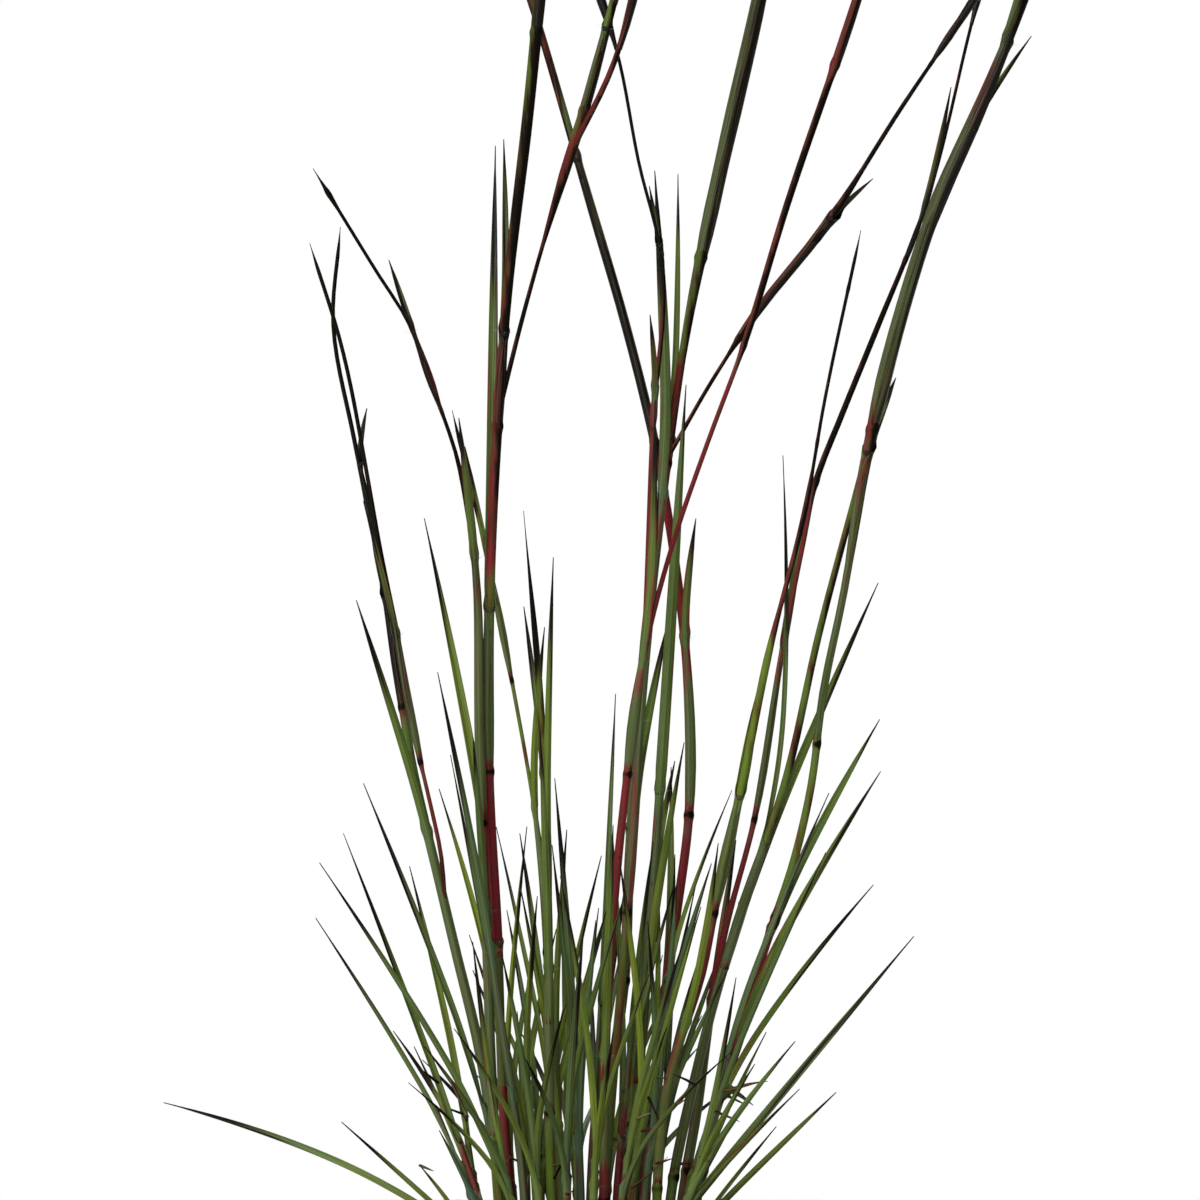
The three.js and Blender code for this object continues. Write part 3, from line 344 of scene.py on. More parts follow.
def blade_share(along):
    """A blade's half width as a share of its full one: full low down, then a long taper."""
    return np.minimum(1.0, BLADE_ROOT_SHARE + BLADE_WIDENING * along) * (1.0 - along ** BLADE_TAPER)


def parabola(root, ahead, tip, bow, along):
    """Points on the Bezier from root to tip whose control point is root + ahead x bow x length."""
    return bezier(root, root + ahead * bow * np.linalg.norm(tip - root), tip, along[:, None])


def stretch_gaps(start, end, other_start, other_end):
    """The shortest distance from each stretch of a line to each of many others, as a table."""
    run = (end - start)[:, None]
    other_run = (other_end - other_start)[None]
    apart = start[:, None] - other_start[None]
    run_squared = (run * run).sum(-1)
    other_squared = (other_run * other_run).sum(-1)
    both = (run * other_run).sum(-1)
    along = (run * apart).sum(-1)
    other_along = (other_run * apart).sum(-1)
    spread = run_squared * other_squared - both * both
    share = (both * other_along - along * other_squared) / np.where(spread > PARALLEL, spread, 1.0)
    share = np.where(spread > PARALLEL, np.clip(share, 0.0, 1.0), 0.0)
    other_share = (both * share + other_along) / other_squared
    share = np.where(other_share < 0, np.clip(-along / run_squared, 0.0, 1.0), share)
    share = np.where(other_share > 1, np.clip((both - along) / run_squared, 0.0, 1.0), share)
    other_share = np.clip(other_share, 0.0, 1.0)
    gap = apart + run * share[..., None] - other_run * other_share[..., None]
    return np.sqrt((gap * gap).sum(-1))


def stays_clear(line, owner):
    """Whether a line with a reach at each point stays off every line of the other stems."""
    others = np.array([name != owner for name in placed["owner"]], dtype=bool)
    if not others.any():
        return True
    points, reach = line["points"], line["reach"]
    near = np.maximum(reach[:-1], reach[1:])[:, None] + placed["reach"][others][None] + STEM_GAP
    gaps = stretch_gaps(points[:-1], points[1:], placed["start"][others], placed["end"][others])
    return bool((gaps >= near).all())


def bend_clear(owner, shape):
    """Leans a line towards or away from the viewer, a little more each try, until it clears the others."""
    for attempt in range(2 * BEND_TRIES + 1):
        lean = BEND_STEP * math.ceil(attempt / 2) * (1 if attempt % 2 == 0 else -1)
        line = shape(lean)
        if stays_clear(line, owner):
            points, reach = line["points"], line["reach"]
            placed["start"] = np.vstack([placed["start"], points[:-1]])
            placed["end"] = np.vstack([placed["end"], points[1:]])
            placed["reach"] = np.append(placed["reach"], np.maximum(reach[:-1], reach[1:]))
            placed["owner"] += [owner] * (len(points) - 1)
            return line
    raise RuntimeError(f"{owner} finds no clear way")


def raised(point):
    """A place with its height above the rim, as one with its height above the pot's underside."""
    return np.array(point, dtype=float) + (0.0, 0.0, POT_HEIGHT)


def foot_line(foot):
    """The sunk foot that every stem starts from, upright through its hole in the soil."""
    x, y = foot
    return np.array([(x, y, SOIL_TOP - ROOT_DEPTH), (x, y, SOIL_TOP + FOOT_RISE)], dtype=float)


def between(keys, heights):
    """A value read at heights from keys of (height above the rim, value), straight between them."""
    return np.interp(heights - POT_HEIGHT, [key[0] for key in keys], [key[1] for key in keys])


def sheath_radius(leaf):
    """The radius of a leaf's sheath: its own, or else the usual one."""
    return leaf[6] if len(leaf) > 6 else SHEATH_RADIUS


def culm_line(start, spec, lean):
    """
    The line of a culm, leaning more and more towards its top, and its reach at each point: that of its
    thickest place between the points on either side, or of a sheath near by.
    """
    points = np.vstack([start, [raised(point) for point in spec["run"]]])
    heights = points[:, 2].copy()
    top = heights[-1]
    low, high = np.append(heights[0], heights[:-1]), np.append(heights[1:], top)
    reach = between(spec["girth"], heights) * CULM_ROOM
    for height, radius in spec["girth"]:
        near = (POT_HEIGHT + height > low) & (POT_HEIGHT + height < high)
        reach = np.where(near, np.maximum(reach, radius * CULM_ROOM), reach)
    for leaf in spec["leaves"]:
        near = heights > POT_HEIGHT + leaf[0] - SHEATH_MARGIN
        near &= heights < POT_HEIGHT + leaf[1] + SHEATH_MARGIN
        reach = np.where(near, np.maximum(reach, sheath_radius(leaf)), reach)
    points[:, 1] += lean * np.maximum(0.0, (heights - POT_HEIGHT) / (top - POT_HEIGHT)) ** LEAN_POWER
    return {"points": points, "reach": reach}


def blade_line(axis, collar, tip, width, bow, lean):
    """The coarse midrib of a blade from its collar to its tip, and its reach."""
    root, ahead = crossing(axis, POT_HEIGHT + collar - BLADE_ROOT_SINK)
    end = raised(tip) + (0.0, lean, 0.0)
    steps = round_half_up(np.linalg.norm(end - root) / BLADE_STEP_LENGTH)
    steps = min(max(steps, BLADE_LEAST_STEPS), BLADE_MOST_STEPS)
    alongs = np.append(BLADE_APEX_START * np.arange(steps + 1) / steps, 1.0)
    reach = BLADE_ROOM * width * np.maximum(blade_share(alongs), BLADE_ROOM_LEAST)
    return {"points": parabola(root, ahead, end, bow, alongs), "reach": reach, "tip": end}


def round_half_up(value):
    """The nearest whole number, halves upwards."""
    return int(math.floor(value + 0.5))


def twist_of(count):
    """How far a blade turns about its midrib: alternately left and right."""
    return (TWIST_LEAST + TWIST_RANGE * draw(count)) * (1 if count % 2 == 0 else -1)


def lay_culms(owner, spec, start):
    """Lays a culm and then its forks, each clear of what stands already."""
    line = bend_clear(owner, lambda lean: culm_line(start, spec, lean))
    forks = []
    for fork in spec.get("forks", []):
        origin = crossing(line["points"], POT_HEIGHT + fork["from"])[0]
        forks.append(lay_culms(owner, fork, origin[None]))
    return {"line": line, "spec": spec, "forks": forks, "blades": []}


def lay_blades(owner, culm, counter):
    """Lays the blades of a culm and then those of its forks."""
    axis = culm["line"]["points"]
    for leaf in culm["spec"]["leaves"]:
        line = bend_clear(owner, lambda lean: blade_line(axis, leaf[1], leaf[2:5], leaf[5], BLADE_BOW, lean))
        culm["blades"].append({
            "joint": leaf[0], "collar": leaf[1], "tip": line["tip"], "width": leaf[5], "bow": BLADE_BOW,
            "girth": sheath_radius(leaf), "count": next(counter),
        })
    for fork in culm["forks"]:
        lay_blades(owner, fork, counter)


def lay_shoot(owner, foot, neck):
    """Lays the sheath of a leafy shoot from the soil to its neck."""
    def shape(lean):
        points = np.vstack([foot_line(foot), raised(neck)])
        points[2, 1] += NECK_LEAN * lean
        return {"points": points, "reach": np.array([SHOOT_RADIUS, SHOOT_RADIUS, NECK_RADIUS])}
    return bend_clear(owner, shape)


def lay_fan(owner, axis, neck, tips, counter):
    """Lays the blades of a leafy shoot, rooted one above the other."""
    fan = []
    for index, (x, y, height, width, *bow) in enumerate(tips):
        share = LOWEST_COLLAR + (1 - LOWEST_COLLAR) * index / (len(tips) - 1)
        collar = -SOIL_DROP + (neck[2] + SOIL_DROP) * share
        arc = bow[0] if bow else BLADE_BOW
        line = bend_clear(owner, lambda lean: blade_line(axis, collar, (x, y, height), width, arc, lean))
        fan.append({"collar": collar, "tip": line["tip"], "width": width, "bow": arc, "count": next(counter)})
    return fan


tall_names = [f"tall_stem_{index + 1:02d}" for index in range(len(TALL_STEMS))]
shoot_names = [f"leafy_shoot_{index + 1:02d}" for index in range(len(LEAFY_SHOOTS))]
blade_counter = itertools.count()
culms = [lay_culms(name, spec, foot_line(spec["foot"])) for name, spec in zip(tall_names, TALL_STEMS)]
shoots = [lay_shoot(name, foot, neck) for name, (foot, neck, _) in zip(shoot_names, LEAFY_SHOOTS)]
for name, culm in zip(tall_names, culms):
    lay_blades(name, culm, blade_counter)
fans = [
    lay_fan(name, shoot["points"], neck, tips, blade_counter)
    for name, shoot, (_, neck, tips) in zip(shoot_names, shoots, LEAFY_SHOOTS)
]


# Surfaces: grids worked out as whole arrays and gathered into one mesh for each piece

# Of these traits, the first carries painted light near the soil, and shaded marks the side where shade is
# painted.
TRAITS = ("foot_light", "aside", "along", "share", "seed", "tone", "blush", "dusk", "bloom", "shaded")
LEAF, CULM, SPIKE, HAIR, MEMBRANE = range(5)
SEED_SPREAD = 9.0
LEVEL_STEP = 0.001
# How the painted shade falls: a little on upright stems and leaves, fully under a lean, and lifted behind.
UPRIGHT_SHADE = 0.3
FULL_LEAN = 0.12
SHADE_DEPTH = 0.5
SHADE_BEHIND = 0.75
DEPTHWISE = (0.0, 1.0, 0.013)


def ring_faces(rows, sides):
    """Four-sided faces of a grid that closes round its sides, with both end rows closed by strips."""
    row, side = np.meshgrid(np.arange(rows - 1), np.arange(sides), indexing="ij")
    corner = row * sides + side
    right = row * sides + (side + 1) % sides
    walls = np.stack([corner, right, right + sides, corner + sides], axis=-1).reshape(-1, 4)
    half = np.arange(sides // 2 - 1)
    strip = np.stack([half, half + 1, sides - 2 - half, sides - 1 - half], axis=-1)
    return np.vstack([walls, strip[:, ::-1], strip + (rows - 1) * sides])


def shade_of(rings):
    """
    How far each point lies on the side where shade is painted: its place across its ring, up to 1 at the
    edge on the under side of the lean and down to -1 at the other edge, and below 0 behind, which paints the
    back lighter.
    """
    across, deep = (rings[..., axis] - rings[..., axis].mean(axis=-1, keepdims=True) for axis in (0, 1))
    widest = np.abs(across).max(axis=-1, keepdims=True)
    step = np.gradient(rings.mean(axis=-2), axis=-2)
    lean = step[..., 0] / np.maximum(np.abs(step[..., 2]), LEVEL_STEP)
    under = UPRIGHT_SHADE + (1 - UPRIGHT_SHADE) * np.clip(lean / FULL_LEAN, -1.0, 1.0)
    front = np.clip(1 - deep / (widest * SHADE_DEPTH), 0.0, 1.0)
    return under[..., None] * across / widest * front - SHADE_BEHIND * (1 - front)


class Piece:
    """Gathers the closed skins of one piece, each with its finish and its traits at every point."""

    def __init__(self):
        self.points = []
        self.faces = []
        self.finishes = []
        self.traits = []
        self.lines = []
        self.size = 0

    def add(self, rings, finish, seed=0.0, **traits):
        """Adds closed skins, shaped rows by sides, or many at once, shaped skins by rows by sides."""
        rows, sides = rings.shape[-3:-1]
        # Every skin carries where shade is painted on it.
        traits = {**traits, "seed": SEED_SPREAD * seed, "shaded": shade_of(rings)}
        skins = rings.size // (rows * sides * 3)
        faces = ring_faces(rows, sides)[None] + np.arange(skins)[:, None, None] * rows * sides
        columns = [np.broadcast_to(traits.get(name, 0.0), rings.shape[:-1]).reshape(-1) for name in TRAITS]
        self.points.append(rings.reshape(-1, 3))
        self.faces.append(faces.reshape(-1, 4) + self.size)
        self.finishes.append(np.full(faces.shape[0] * faces.shape[1], finish))
        self.traits.append(np.stack(columns, axis=-1))
        self.size += len(self.points[-1])

    def build(self, name, materials):
        """Makes the mesh object, smooth, at the origin, with one material for each finish."""
        points = np.vstack(self.points) * METRE
        traits = np.vstack(self.traits)
        piece = mesh_object(name, points, np.vstack(self.faces), materials)
        mesh = piece.data
        mesh.polygons.foreach_set("material_index", np.concatenate(self.finishes).astype(np.int32))
        for column, trait in enumerate(TRAITS):
            layer = mesh.attributes.new(trait, "FLOAT", "POINT")
            layer.data.foreach_set("value", traits[:, column].astype(np.float32))
        return piece


def mesh_object(name, points, faces, materials):
    """A smooth mesh of four-sided faces as an object at the origin that rides with the plant."""
    mesh = bpy.data.meshes.new(name)
    mesh.vertices.add(len(points))
    mesh.vertices.foreach_set("co", points.astype(np.float32).ravel())
    mesh.loops.add(faces.size)
    mesh.loops.foreach_set("vertex_index", faces.astype(np.int32).ravel())
    mesh.polygons.add(len(faces))
    mesh.polygons.foreach_set("loop_start", np.arange(0, faces.size, 4, dtype=np.int32))
    for material in materials:
        mesh.materials.append(material)
    mesh.update(calc_edges=True)
    mesh.shade_smooth()
    piece = bpy.data.objects.new(name, mesh)
    bpy.context.scene.collection.objects.link(piece)
    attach(piece, "root")
    return piece


def follow(points, heights):
    """
    The smooth line through points that rise, read at heights, and its direction there: between each two
    points a cubic in height that keeps their mean slopes, and beyond the ends a straight run.
    """
    z = points[:, 2]
    slopes = np.gradient(points[:, :2], z, axis=0)
    inside = np.clip(heights, z[0], z[-1])
    index = np.clip(np.searchsorted(z, inside) - 1, 0, len(z) - 2)
    span = (z[index + 1] - z[index])[:, None]
    u = (inside - z[index])[:, None] / span
    low, high = points[index, :2], points[index + 1, :2]
    rise, fall = slopes[index] * span, slopes[index + 1] * span
    place = (low * (1 + 2 * u) * (1 - u) ** 2 + rise * u * (1 - u) ** 2
             + high * u * u * (3 - 2 * u) - fall * u * u * (1 - u))
    slope = (6 * u * (1 - u) * (high - low) + rise * (1 - u) * (1 - 3 * u) + fall * u * (3 * u - 2)) / span
    place = place + slope * (heights - inside)[:, None]
    return np.column_stack([place, heights]), unit(np.column_stack([slope, np.ones(len(heights))]))


def tube(line, ahead, radii, sides):
    """Rings round lines: point + radius x (cosine of the turn to the side + sine of it to the front)."""
    side = unit(np.cross(np.broadcast_to(DEPTHWISE, ahead.shape), ahead))
    front = np.cross(ahead, side)
    turn = (2 * np.pi * np.arange(sides) / sides)[:, None]
    spread = side[..., None, :] * np.cos(turn) + front[..., None, :] * np.sin(turn)
    return line[..., None, :] + np.asarray(radii)[..., None, None] * spread


def square_to(direction, ahead):
    """The part of a direction that is square to the line, at length one."""
    return unit(direction - ahead * (direction * ahead).sum(-1, keepdims=True))


def add_needles(piece, finish, roots, directions, lengths, width, profile, droop=0.0, sides=4, **traits):
    """
    Adds many slender bodies at once: each runs straight from its root along its direction and sinks by
    droop x its length x share squared, with the half width profile(share) x its width.
    """
    share = np.linspace(0.0, 1.0, len(profile))[None, :, None]
    lengths = lengths[:, None, None]
    line = roots[:, None] + directions[:, None] * (lengths * share) - droop * lengths * share ** 2 * UP
    radii = np.broadcast_to(width, len(roots))[:, None] * np.array(profile)
    rings = tube(line, np.broadcast_to(directions[:, None], line.shape), radii, sides)
    piece.add(rings, finish, share=share, **traits)


# Leaves: their rows of points, their section, and how the sheath opens into the blade

LEAF_COLUMNS = 9
SHEATH_FOOT_ROWS = np.array([0.0, 0.8, 2.0, 4.0])
SHEATH_EVEN_FROM = 8.0
SHEATH_STEP = 9.0
SHEATH_LEAST_ROWS = 4
SHEATH_END_ROOM = 0.5
COLLAR_ROWS = np.array([0.0, 1.0, 2.2, 3.4, 4.6, 5.8, 7.0, 8.2, 9.6])
BLADE_STEP = 5.5
BLADE_LEAST_ROWS = 10
SHOULDER_LENGTH = 14.0
UNROLL_LENGTH = 22.0
CLOSING = (-12.0, -2.0)
SHEATH_LAP = 1.1
CLOSED_LAP = 0.13
LAP_STEP = 0.13
SHEATH_THICKNESS = 0.24
CLOSED_THINNING = 0.4
BLADE_THICKNESS = 0.3
MARGIN_THINNING = 0.55
TIP_THINNING = 0.6
TIP_HALF = 0.16
BLADE_CUP = 0.12
BLADE_POINT = 5.5
BLADE_BREADTH = 1.36
SHOOT_BREADTH = 1.05
LEAF_FOLD = 0.28
RIB_HEIGHT = 0.16
RIB_SHARE = 0.16
RIB_INSET_SHARE = 0.5
FACING = (0.5, 1.0)
FACING_SHARE = 0.35
TWIST_SHARE = 0.35

# Leaves: how their tints run along them, and change high on the plant

HIGH = (160.0, 280.0)
TIP_DUSK = 1.1
TIP_DUSK_FROM = (0.36, 0.82)
BLADE_CLEARING = 0.65
HIGH_CLEARING = 0.5
CLEARING = (4.0, 22.0)
KNOT_FADE = 0.5
KNOT_FADE_RISE = (230.0, 290.0)
FOOT_DUSK = 0.62
FOOT_DUSK_LENGTH = 4.5
FOOT_BLUSH = 0.5
# Painted light near the soil: how strong it is at the soil, and how high up it fades out.
PAINTED_FOOT_LIGHT = 0.85
PAINTED_LIGHT_RISE = 80.0
SHEATH_BLUSH = (4.0, -4.0)
BLADE_BLUSH = (0.3, 1.0)
RIB_BLUSH = 0.4
LEAF_TONE = (-0.15, 0.15)
BLADE_TONE = 0.12
BLADE_TONE_RISE = 30.0
HIGH_TONE = 0.1
SHEATH_WAX = 0.28
BLADE_WAX_LOSS = 0.2
WAX_LOSS_LENGTH = 15.0
HIGH_WAX = 0.04


def sheet_rings(spine, ahead, out, half, bend, fold, lap, thickness, rib):
    """
    A leaf's cross-sections along its spine. A point at share t of the half width lies on an arc of the
    given bend: half x t of arc length from the spine, which is the arc's outermost point. The margins sink
    by fold x half x |t| more, and lap x t lets one margin slide under the other. The back is that surface
    raised by half the thickness and a rib over the spine, the face is it lowered by half the thickness.
    """
    t = np.linspace(-1.0, 1.0, LEAF_COLUMNS)
    side = np.cross(ahead, out)
    arc = half[:, None] * t
    turn = (arc * bend[:, None])[..., None]
    along_side = np.sin(turn) / bend[:, None, None]
    along_out = (np.cos(turn) - 1.0) / bend[:, None, None] - (fold[:, None] * np.abs(arc))[..., None]
    normal = out[:, None] * np.cos(turn) + side[:, None] * np.sin(turn)
    middle = spine[:, None] + side[:, None] * along_side + out[:, None] * along_out
    middle = middle + normal * (lap[:, None] * t)[..., None]
    thick = thickness[:, None] * (1.0 - MARGIN_THINNING * t * t)
    ridge = rib[:, None] * np.exp(-((t / RIB_SHARE) ** 2))
    back = middle + normal * (0.5 * thick + ridge)[..., None]
    face = middle - normal * (0.5 * thick)[..., None]
    return np.concatenate([back, face[:, ::-1]], axis=1), np.concatenate([t, t[::-1]])


def facing_turn(ahead, out):
    """The least turn about the blade's line that lays one of its faces towards the viewer or away."""
    side = np.cross(ahead, out)
    turn = math.atan2(side[1], out[1])
    return turn - math.pi * math.floor(turn / math.pi + 0.5)


def leaf_spine(axis, girth_at, start, root, blade):
    """
    The outermost line of a leaf: up the stem from the height start to the height root on the side of its
    tip, then the parabola from the stem to the tip, and with it the leaf's mouth. Run is the way past the
    root, and on_blade the share of the blade that is passed.
    """
    rows = max(SHEATH_LEAST_ROWS, int((root - start) / SHEATH_STEP))
    heights = np.append(start + SHEATH_FOOT_ROWS, np.linspace(start + SHEATH_EVEN_FROM, root, rows + 1))
    heights = heights[heights < root - SHEATH_END_ROOM]
    sheath_line, sheath_ahead = follow(axis, heights)
    at, ahead = (value[0] for value in follow(axis, np.array([root])))
    chord = blade["tip"] - at
    length = np.linalg.norm(chord)
    across = np.cross(ahead, chord)
    if np.linalg.norm(across) < BEND_LEAST * length:
        across = np.cross((0.0, 1.0, 0.0), chord)
    across = unit(across)
    out = np.cross(across, ahead)

    blade_rows = max(BLADE_LEAST_ROWS, int(length / BLADE_STEP))
    distance = np.append(COLLAR_ROWS, np.linspace(COLLAR_ROWS[-1], length, blade_rows + 1)[1:])
    along = distance / length
    rib_line = parabola(at, ahead, blade["tip"], blade["bow"], along)
    rib_ahead = unit(np.gradient(rib_line, axis=0))
    girth = girth_at(np.array([root]))[0]
    rib_line = rib_line + out * (girth * (1.0 - ease(along / RIB_INSET_SHARE)))[:, None]
    sheath_out = square_to(np.broadcast_to(out, sheath_ahead.shape), sheath_ahead)
    spine = {
        "line": np.vstack([sheath_line + sheath_out * girth_at(heights)[:, None], rib_line]),
        "ahead": np.vstack([sheath_ahead, rib_ahead]),
        "out": np.vstack([sheath_out, unit(np.cross(across, rib_ahead))]),
        "girth": np.concatenate([girth_at(heights), np.full(len(distance), girth)]),
        "run": np.concatenate([heights - root, distance]),
        "on_blade": np.concatenate([np.zeros(len(heights)), along]),
        "middle": len(heights) + len(distance) - blade_rows // 2,
    }
    return spine, {"at": at, "ahead": ahead, "out": out, "across": across, "girth": girth}


def leaf_skin(spine, blade):
    """The closed skin of a leaf: a sheath rolled round its stem that opens into a cupped, turning blade."""
    run, on_blade, girths = spine["run"], spine["on_blade"], spine["girth"]
    ahead, out, count = spine["ahead"], spine["out"], blade["count"]
    full_turn = facing_turn(ahead[spine["middle"]], out[spine["middle"]]) * pick(count, 0.23, FACING)
    turn = full_turn * ease(on_blade / FACING_SHARE) + TWIST_SHARE * twist_of(count) * on_blade ** 2
    out = out * np.cos(turn)[:, None] + np.cross(ahead, out) * np.sin(turn)[:, None]

    opened, unrolled = ease(run / SHOULDER_LENGTH), ease(run / UNROLL_LENGTH)
    closing = past(run, CLOSING)
    full = np.minimum(1.0, BLADE_ROOT_SHARE + BLADE_WIDENING * on_blade) * (1.0 - on_blade ** BLADE_POINT)
    blade_half = np.maximum(0.5 * blade["width"] * blade.get("breadth", BLADE_BREADTH) * full, TIP_HALF)
    wrapped = (SHEATH_LAP - CLOSED_LAP * closing) * np.pi * girths
    half = wrapped * (1 - opened) + blade_half * opened
    bend = (1 - unrolled) / girths + unrolled * BLADE_CUP
    thin = 1.0 - TIP_THINNING * on_blade ** 2
    sheath_thickness = SHEATH_THICKNESS * (1 - CLOSED_THINNING * closing)
    thickness = (sheath_thickness * (1 - opened) + BLADE_THICKNESS * opened) * thin
    rings, t = sheet_rings(
        spine["line"], ahead, out, half, bend, LEAF_FOLD * unrolled, LAP_STEP * (1 - closing), thickness,
        RIB_HEIGHT * thin * opened)
    return rings, half[:, None] * t, t


def knot_strength(heights):
    """How strong the darkness of a joint is: full low down, and less high on the plant."""
    return 1 - KNOT_FADE * past(heights - POT_HEIGHT, KNOT_FADE_RISE)


def leaf_tint(spine, share, t, start, mouth_height, count, tint):
    """
    A leaf's traits. It is as dark as its stem, with a clearer blade, a darker tip and a dark, red joint at
    its foot, and painted light makes it paler near the soil. Crimson and wax are strongest on the sheath.
    """
    heights, run = spine["line"][:, 2], spine["run"]
    high = past(mouth_height - POT_HEIGHT, HIGH)
    tip_dusk = TIP_DUSK * past(share, (pick(count, 0.31, TIP_DUSK_FROM), 1.0))
    cleared = BLADE_CLEARING * (1 - HIGH_CLEARING * high) * past(run, CLEARING)
    own_dusk = between(tint["dusk"], heights) * (1 - cleared)
    at_foot = 1.0 - ease((heights - start) / FOOT_DUSK_LENGTH)
    at_foot = at_foot * knot_strength(start) * (start > SOIL_TOP + JOINT_LEAST)
    on_sheath = past(run, SHEATH_BLUSH)[:, None]
    on_rib = RIB_BLUSH + (1 - RIB_BLUSH) * t * t
    redness = on_sheath + (1 - on_sheath) * pick(count, 0.77, BLADE_BLUSH) * on_rib
    tone = tint["tone"] + pick(count, 0.53, LEAF_TONE) - HIGH_TONE * high
    wax = SHEATH_WAX - BLADE_WAX_LOSS * ease(run / WAX_LOSS_LENGTH) + HIGH_WAX * high
    return {
        # painted light: brighter near the soil, fading out upwards
        "foot_light": PAINTED_FOOT_LIGHT * (1.0 - ease((heights - SOIL_TOP) / PAINTED_LIGHT_RISE))[:, None],
        "tone": tone + BLADE_TONE * ease(run / BLADE_TONE_RISE)[:, None],
        "blush": between(tint["blush"], heights)[:, None] * redness + FOOT_BLUSH * at_foot[:, None],
        "dusk": np.maximum(np.maximum(own_dusk, tip_dusk), FOOT_DUSK * at_foot)[:, None],
        "bloom": wax[:, None],
    }


def add_leaf(piece, axis, girth_at, start, root, blade, tint):
    """Adds one leaf whose sheath runs from the height start to the height root, and gives its mouth."""
    spine, mouth = leaf_spine(axis, girth_at, start, root, blade)
    rings, aside, t = leaf_skin(spine, blade)
    run = spine["run"]
    share = np.where(run < 0, run / max(root - start, 1.0), spine["on_blade"])
    traits = leaf_tint(spine, share, t, start, mouth["at"][2], blade["count"], tint)
    piece.add(
        rings, LEAF, aside=aside, along=run[:, None], share=share[:, None], seed=draw(blade["count"], 0.17),
        **traits)
    piece.lines.append(spine["line"])
    return mouth


# The mouths of the sheaths

MEMBRANE_RISE = np.array([2.0, 2.6, 3.1, 3.5])
LINING_START = 2.2
MEMBRANE_ROOM = 0.05
MEMBRANE_TOOTH = 0.4
MEMBRANE_DUSK = 0.1
MEMBRANE_DUSK_GAIN = 1.4
COLLAR_SIDES = 24
STEM_HAIRS = 6
SHOOT_HAIRS = 3
HAIR_RISE = 3.0
HAIR_INSET = 0.95
HAIR_LENGTHS = (1.8, 4.0)
HAIR_LIFTS = (0.35, 0.85)
HAIR_WIDTH = 0.03
HAIR_DROOP = 0.12
HAIR_PROFILE = (1.0, 0.7, 0.2)
MOUTH_ROOM = 0.08
MOUTH_TAPER = 34.0
MOUTH_CLOSING = 0.92
JOINT_FIT = 1.02
SHEATH_RISE = 16.0
RISE_SHARE = 0.4
TAPER_SHARE = 0.5
LOW_SLIMMING = 0.13
SLIM_BELOW = (100.0, 160.0)


def add_collar(piece, mouth, hairs, seed, radius_at, dusk):
    """At the mouth of a sheath: a short toothed membrane close round the stem, and a few long soft hairs."""
    def hoop(rise, radii):
        """Rings round the stem at heights above the mouth."""
        line = mouth["at"] + mouth["ahead"] * rise[:, None]
        return tube(line, np.broadcast_to(mouth["ahead"], line.shape), radii, COLLAR_SIDES)

    radii = radius_at(mouth["at"][2] + mouth["ahead"][2] * MEMBRANE_RISE)
    cuff = hoop(MEMBRANE_RISE, radii + MEMBRANE_ROOM)
    lining = hoop(np.maximum(MEMBRANE_RISE, LINING_START), radii - MEMBRANE_ROOM)[::-1]
    teeth = mouth["ahead"] * (MEMBRANE_TOOTH * (np.arange(COLLAR_SIDES) % 2))[:, None]
    cuff[-1] += teeth
    lining[0] += teeth
    piece.add(
        np.concatenate([cuff, lining]), MEMBRANE, dusk=MEMBRANE_DUSK_GAIN * dusk + MEMBRANE_DUSK)

    order = np.arange(hairs)
    turn = (2 * np.pi * draw(order, seed))[:, None]
    ring = mouth["across"] * np.cos(turn) + mouth["out"] * np.sin(turn)
    lift = pick(order, seed + 0.4, HAIR_LIFTS)[:, None]
    roots = mouth["at"] + mouth["ahead"] * HAIR_RISE + ring * (mouth["girth"] * HAIR_INSET)
    add_needles(
        piece, HAIR, roots, unit(ring + mouth["ahead"] * lift), pick(order, seed + 0.7, HAIR_LENGTHS),
        HAIR_WIDTH, HAIR_PROFILE, HAIR_DROOP)


def sheath_girth(joint, collar, girth, keys):
    """A sheath's radius by height: close round its joint, full a little above, close again at its collar."""
    length = collar - joint
    rise, fall = min(SHEATH_RISE, RISE_SHARE * length), min(MOUTH_TAPER, TAPER_SHARE * length)
    slim = 1 - LOW_SLIMMING * (1 - past(collar - POT_HEIGHT, SLIM_BELOW))

    def girth_at(heights):
        share = np.clip((heights - joint) / length, 0.0, 1.0)
        close = between(keys, heights) * JOINT_FIT + MOUTH_ROOM
        full = slim * np.maximum(close, girth * (1 - (1 - SHEATH_TAPER) * share))
        opened = ease((heights - joint) / rise) * (1 - MOUTH_CLOSING * ease((heights - collar + fall) / fall))
        return close + (full - close) * opened
    return girth_at


# Culms

CULM_STEP = 6.0
CULM_LEAST_STEP = 0.25
CULM_SIDES = 14
CULM_FULLNESS = 0.1
CULM_TIP_LENGTH = 5.9
CULM_TIP_ROWS = np.array([-5.0, -1.5, 0.0, 0.35 * CULM_TIP_LENGTH, 0.7 * CULM_TIP_LENGTH, CULM_TIP_LENGTH])
CULM_TIP_RADIUS = 0.12
TIP_TAPER = 5.0
PLAIN_TIP_TAPER = 42.0
SPIKE_TIP_TAPER = 24.0
SPIKE_FROM = 440.0
COVERED_CULM = 0.72
COVER_FOOT = (2.0, 5.0)
COVER_HEAD = (8.0, 11.0)
NODE_ROWS = np.array([-6.0, -4.2, -3.0, -2.2, -1.5, -0.9, -0.3, 0.3, 0.9, 1.5, 2.2, 3.6])
NODE_WIDTH = 1.5
KNOT_SWELL = 0.2
KNOT_DUSK_LOW = 0.7
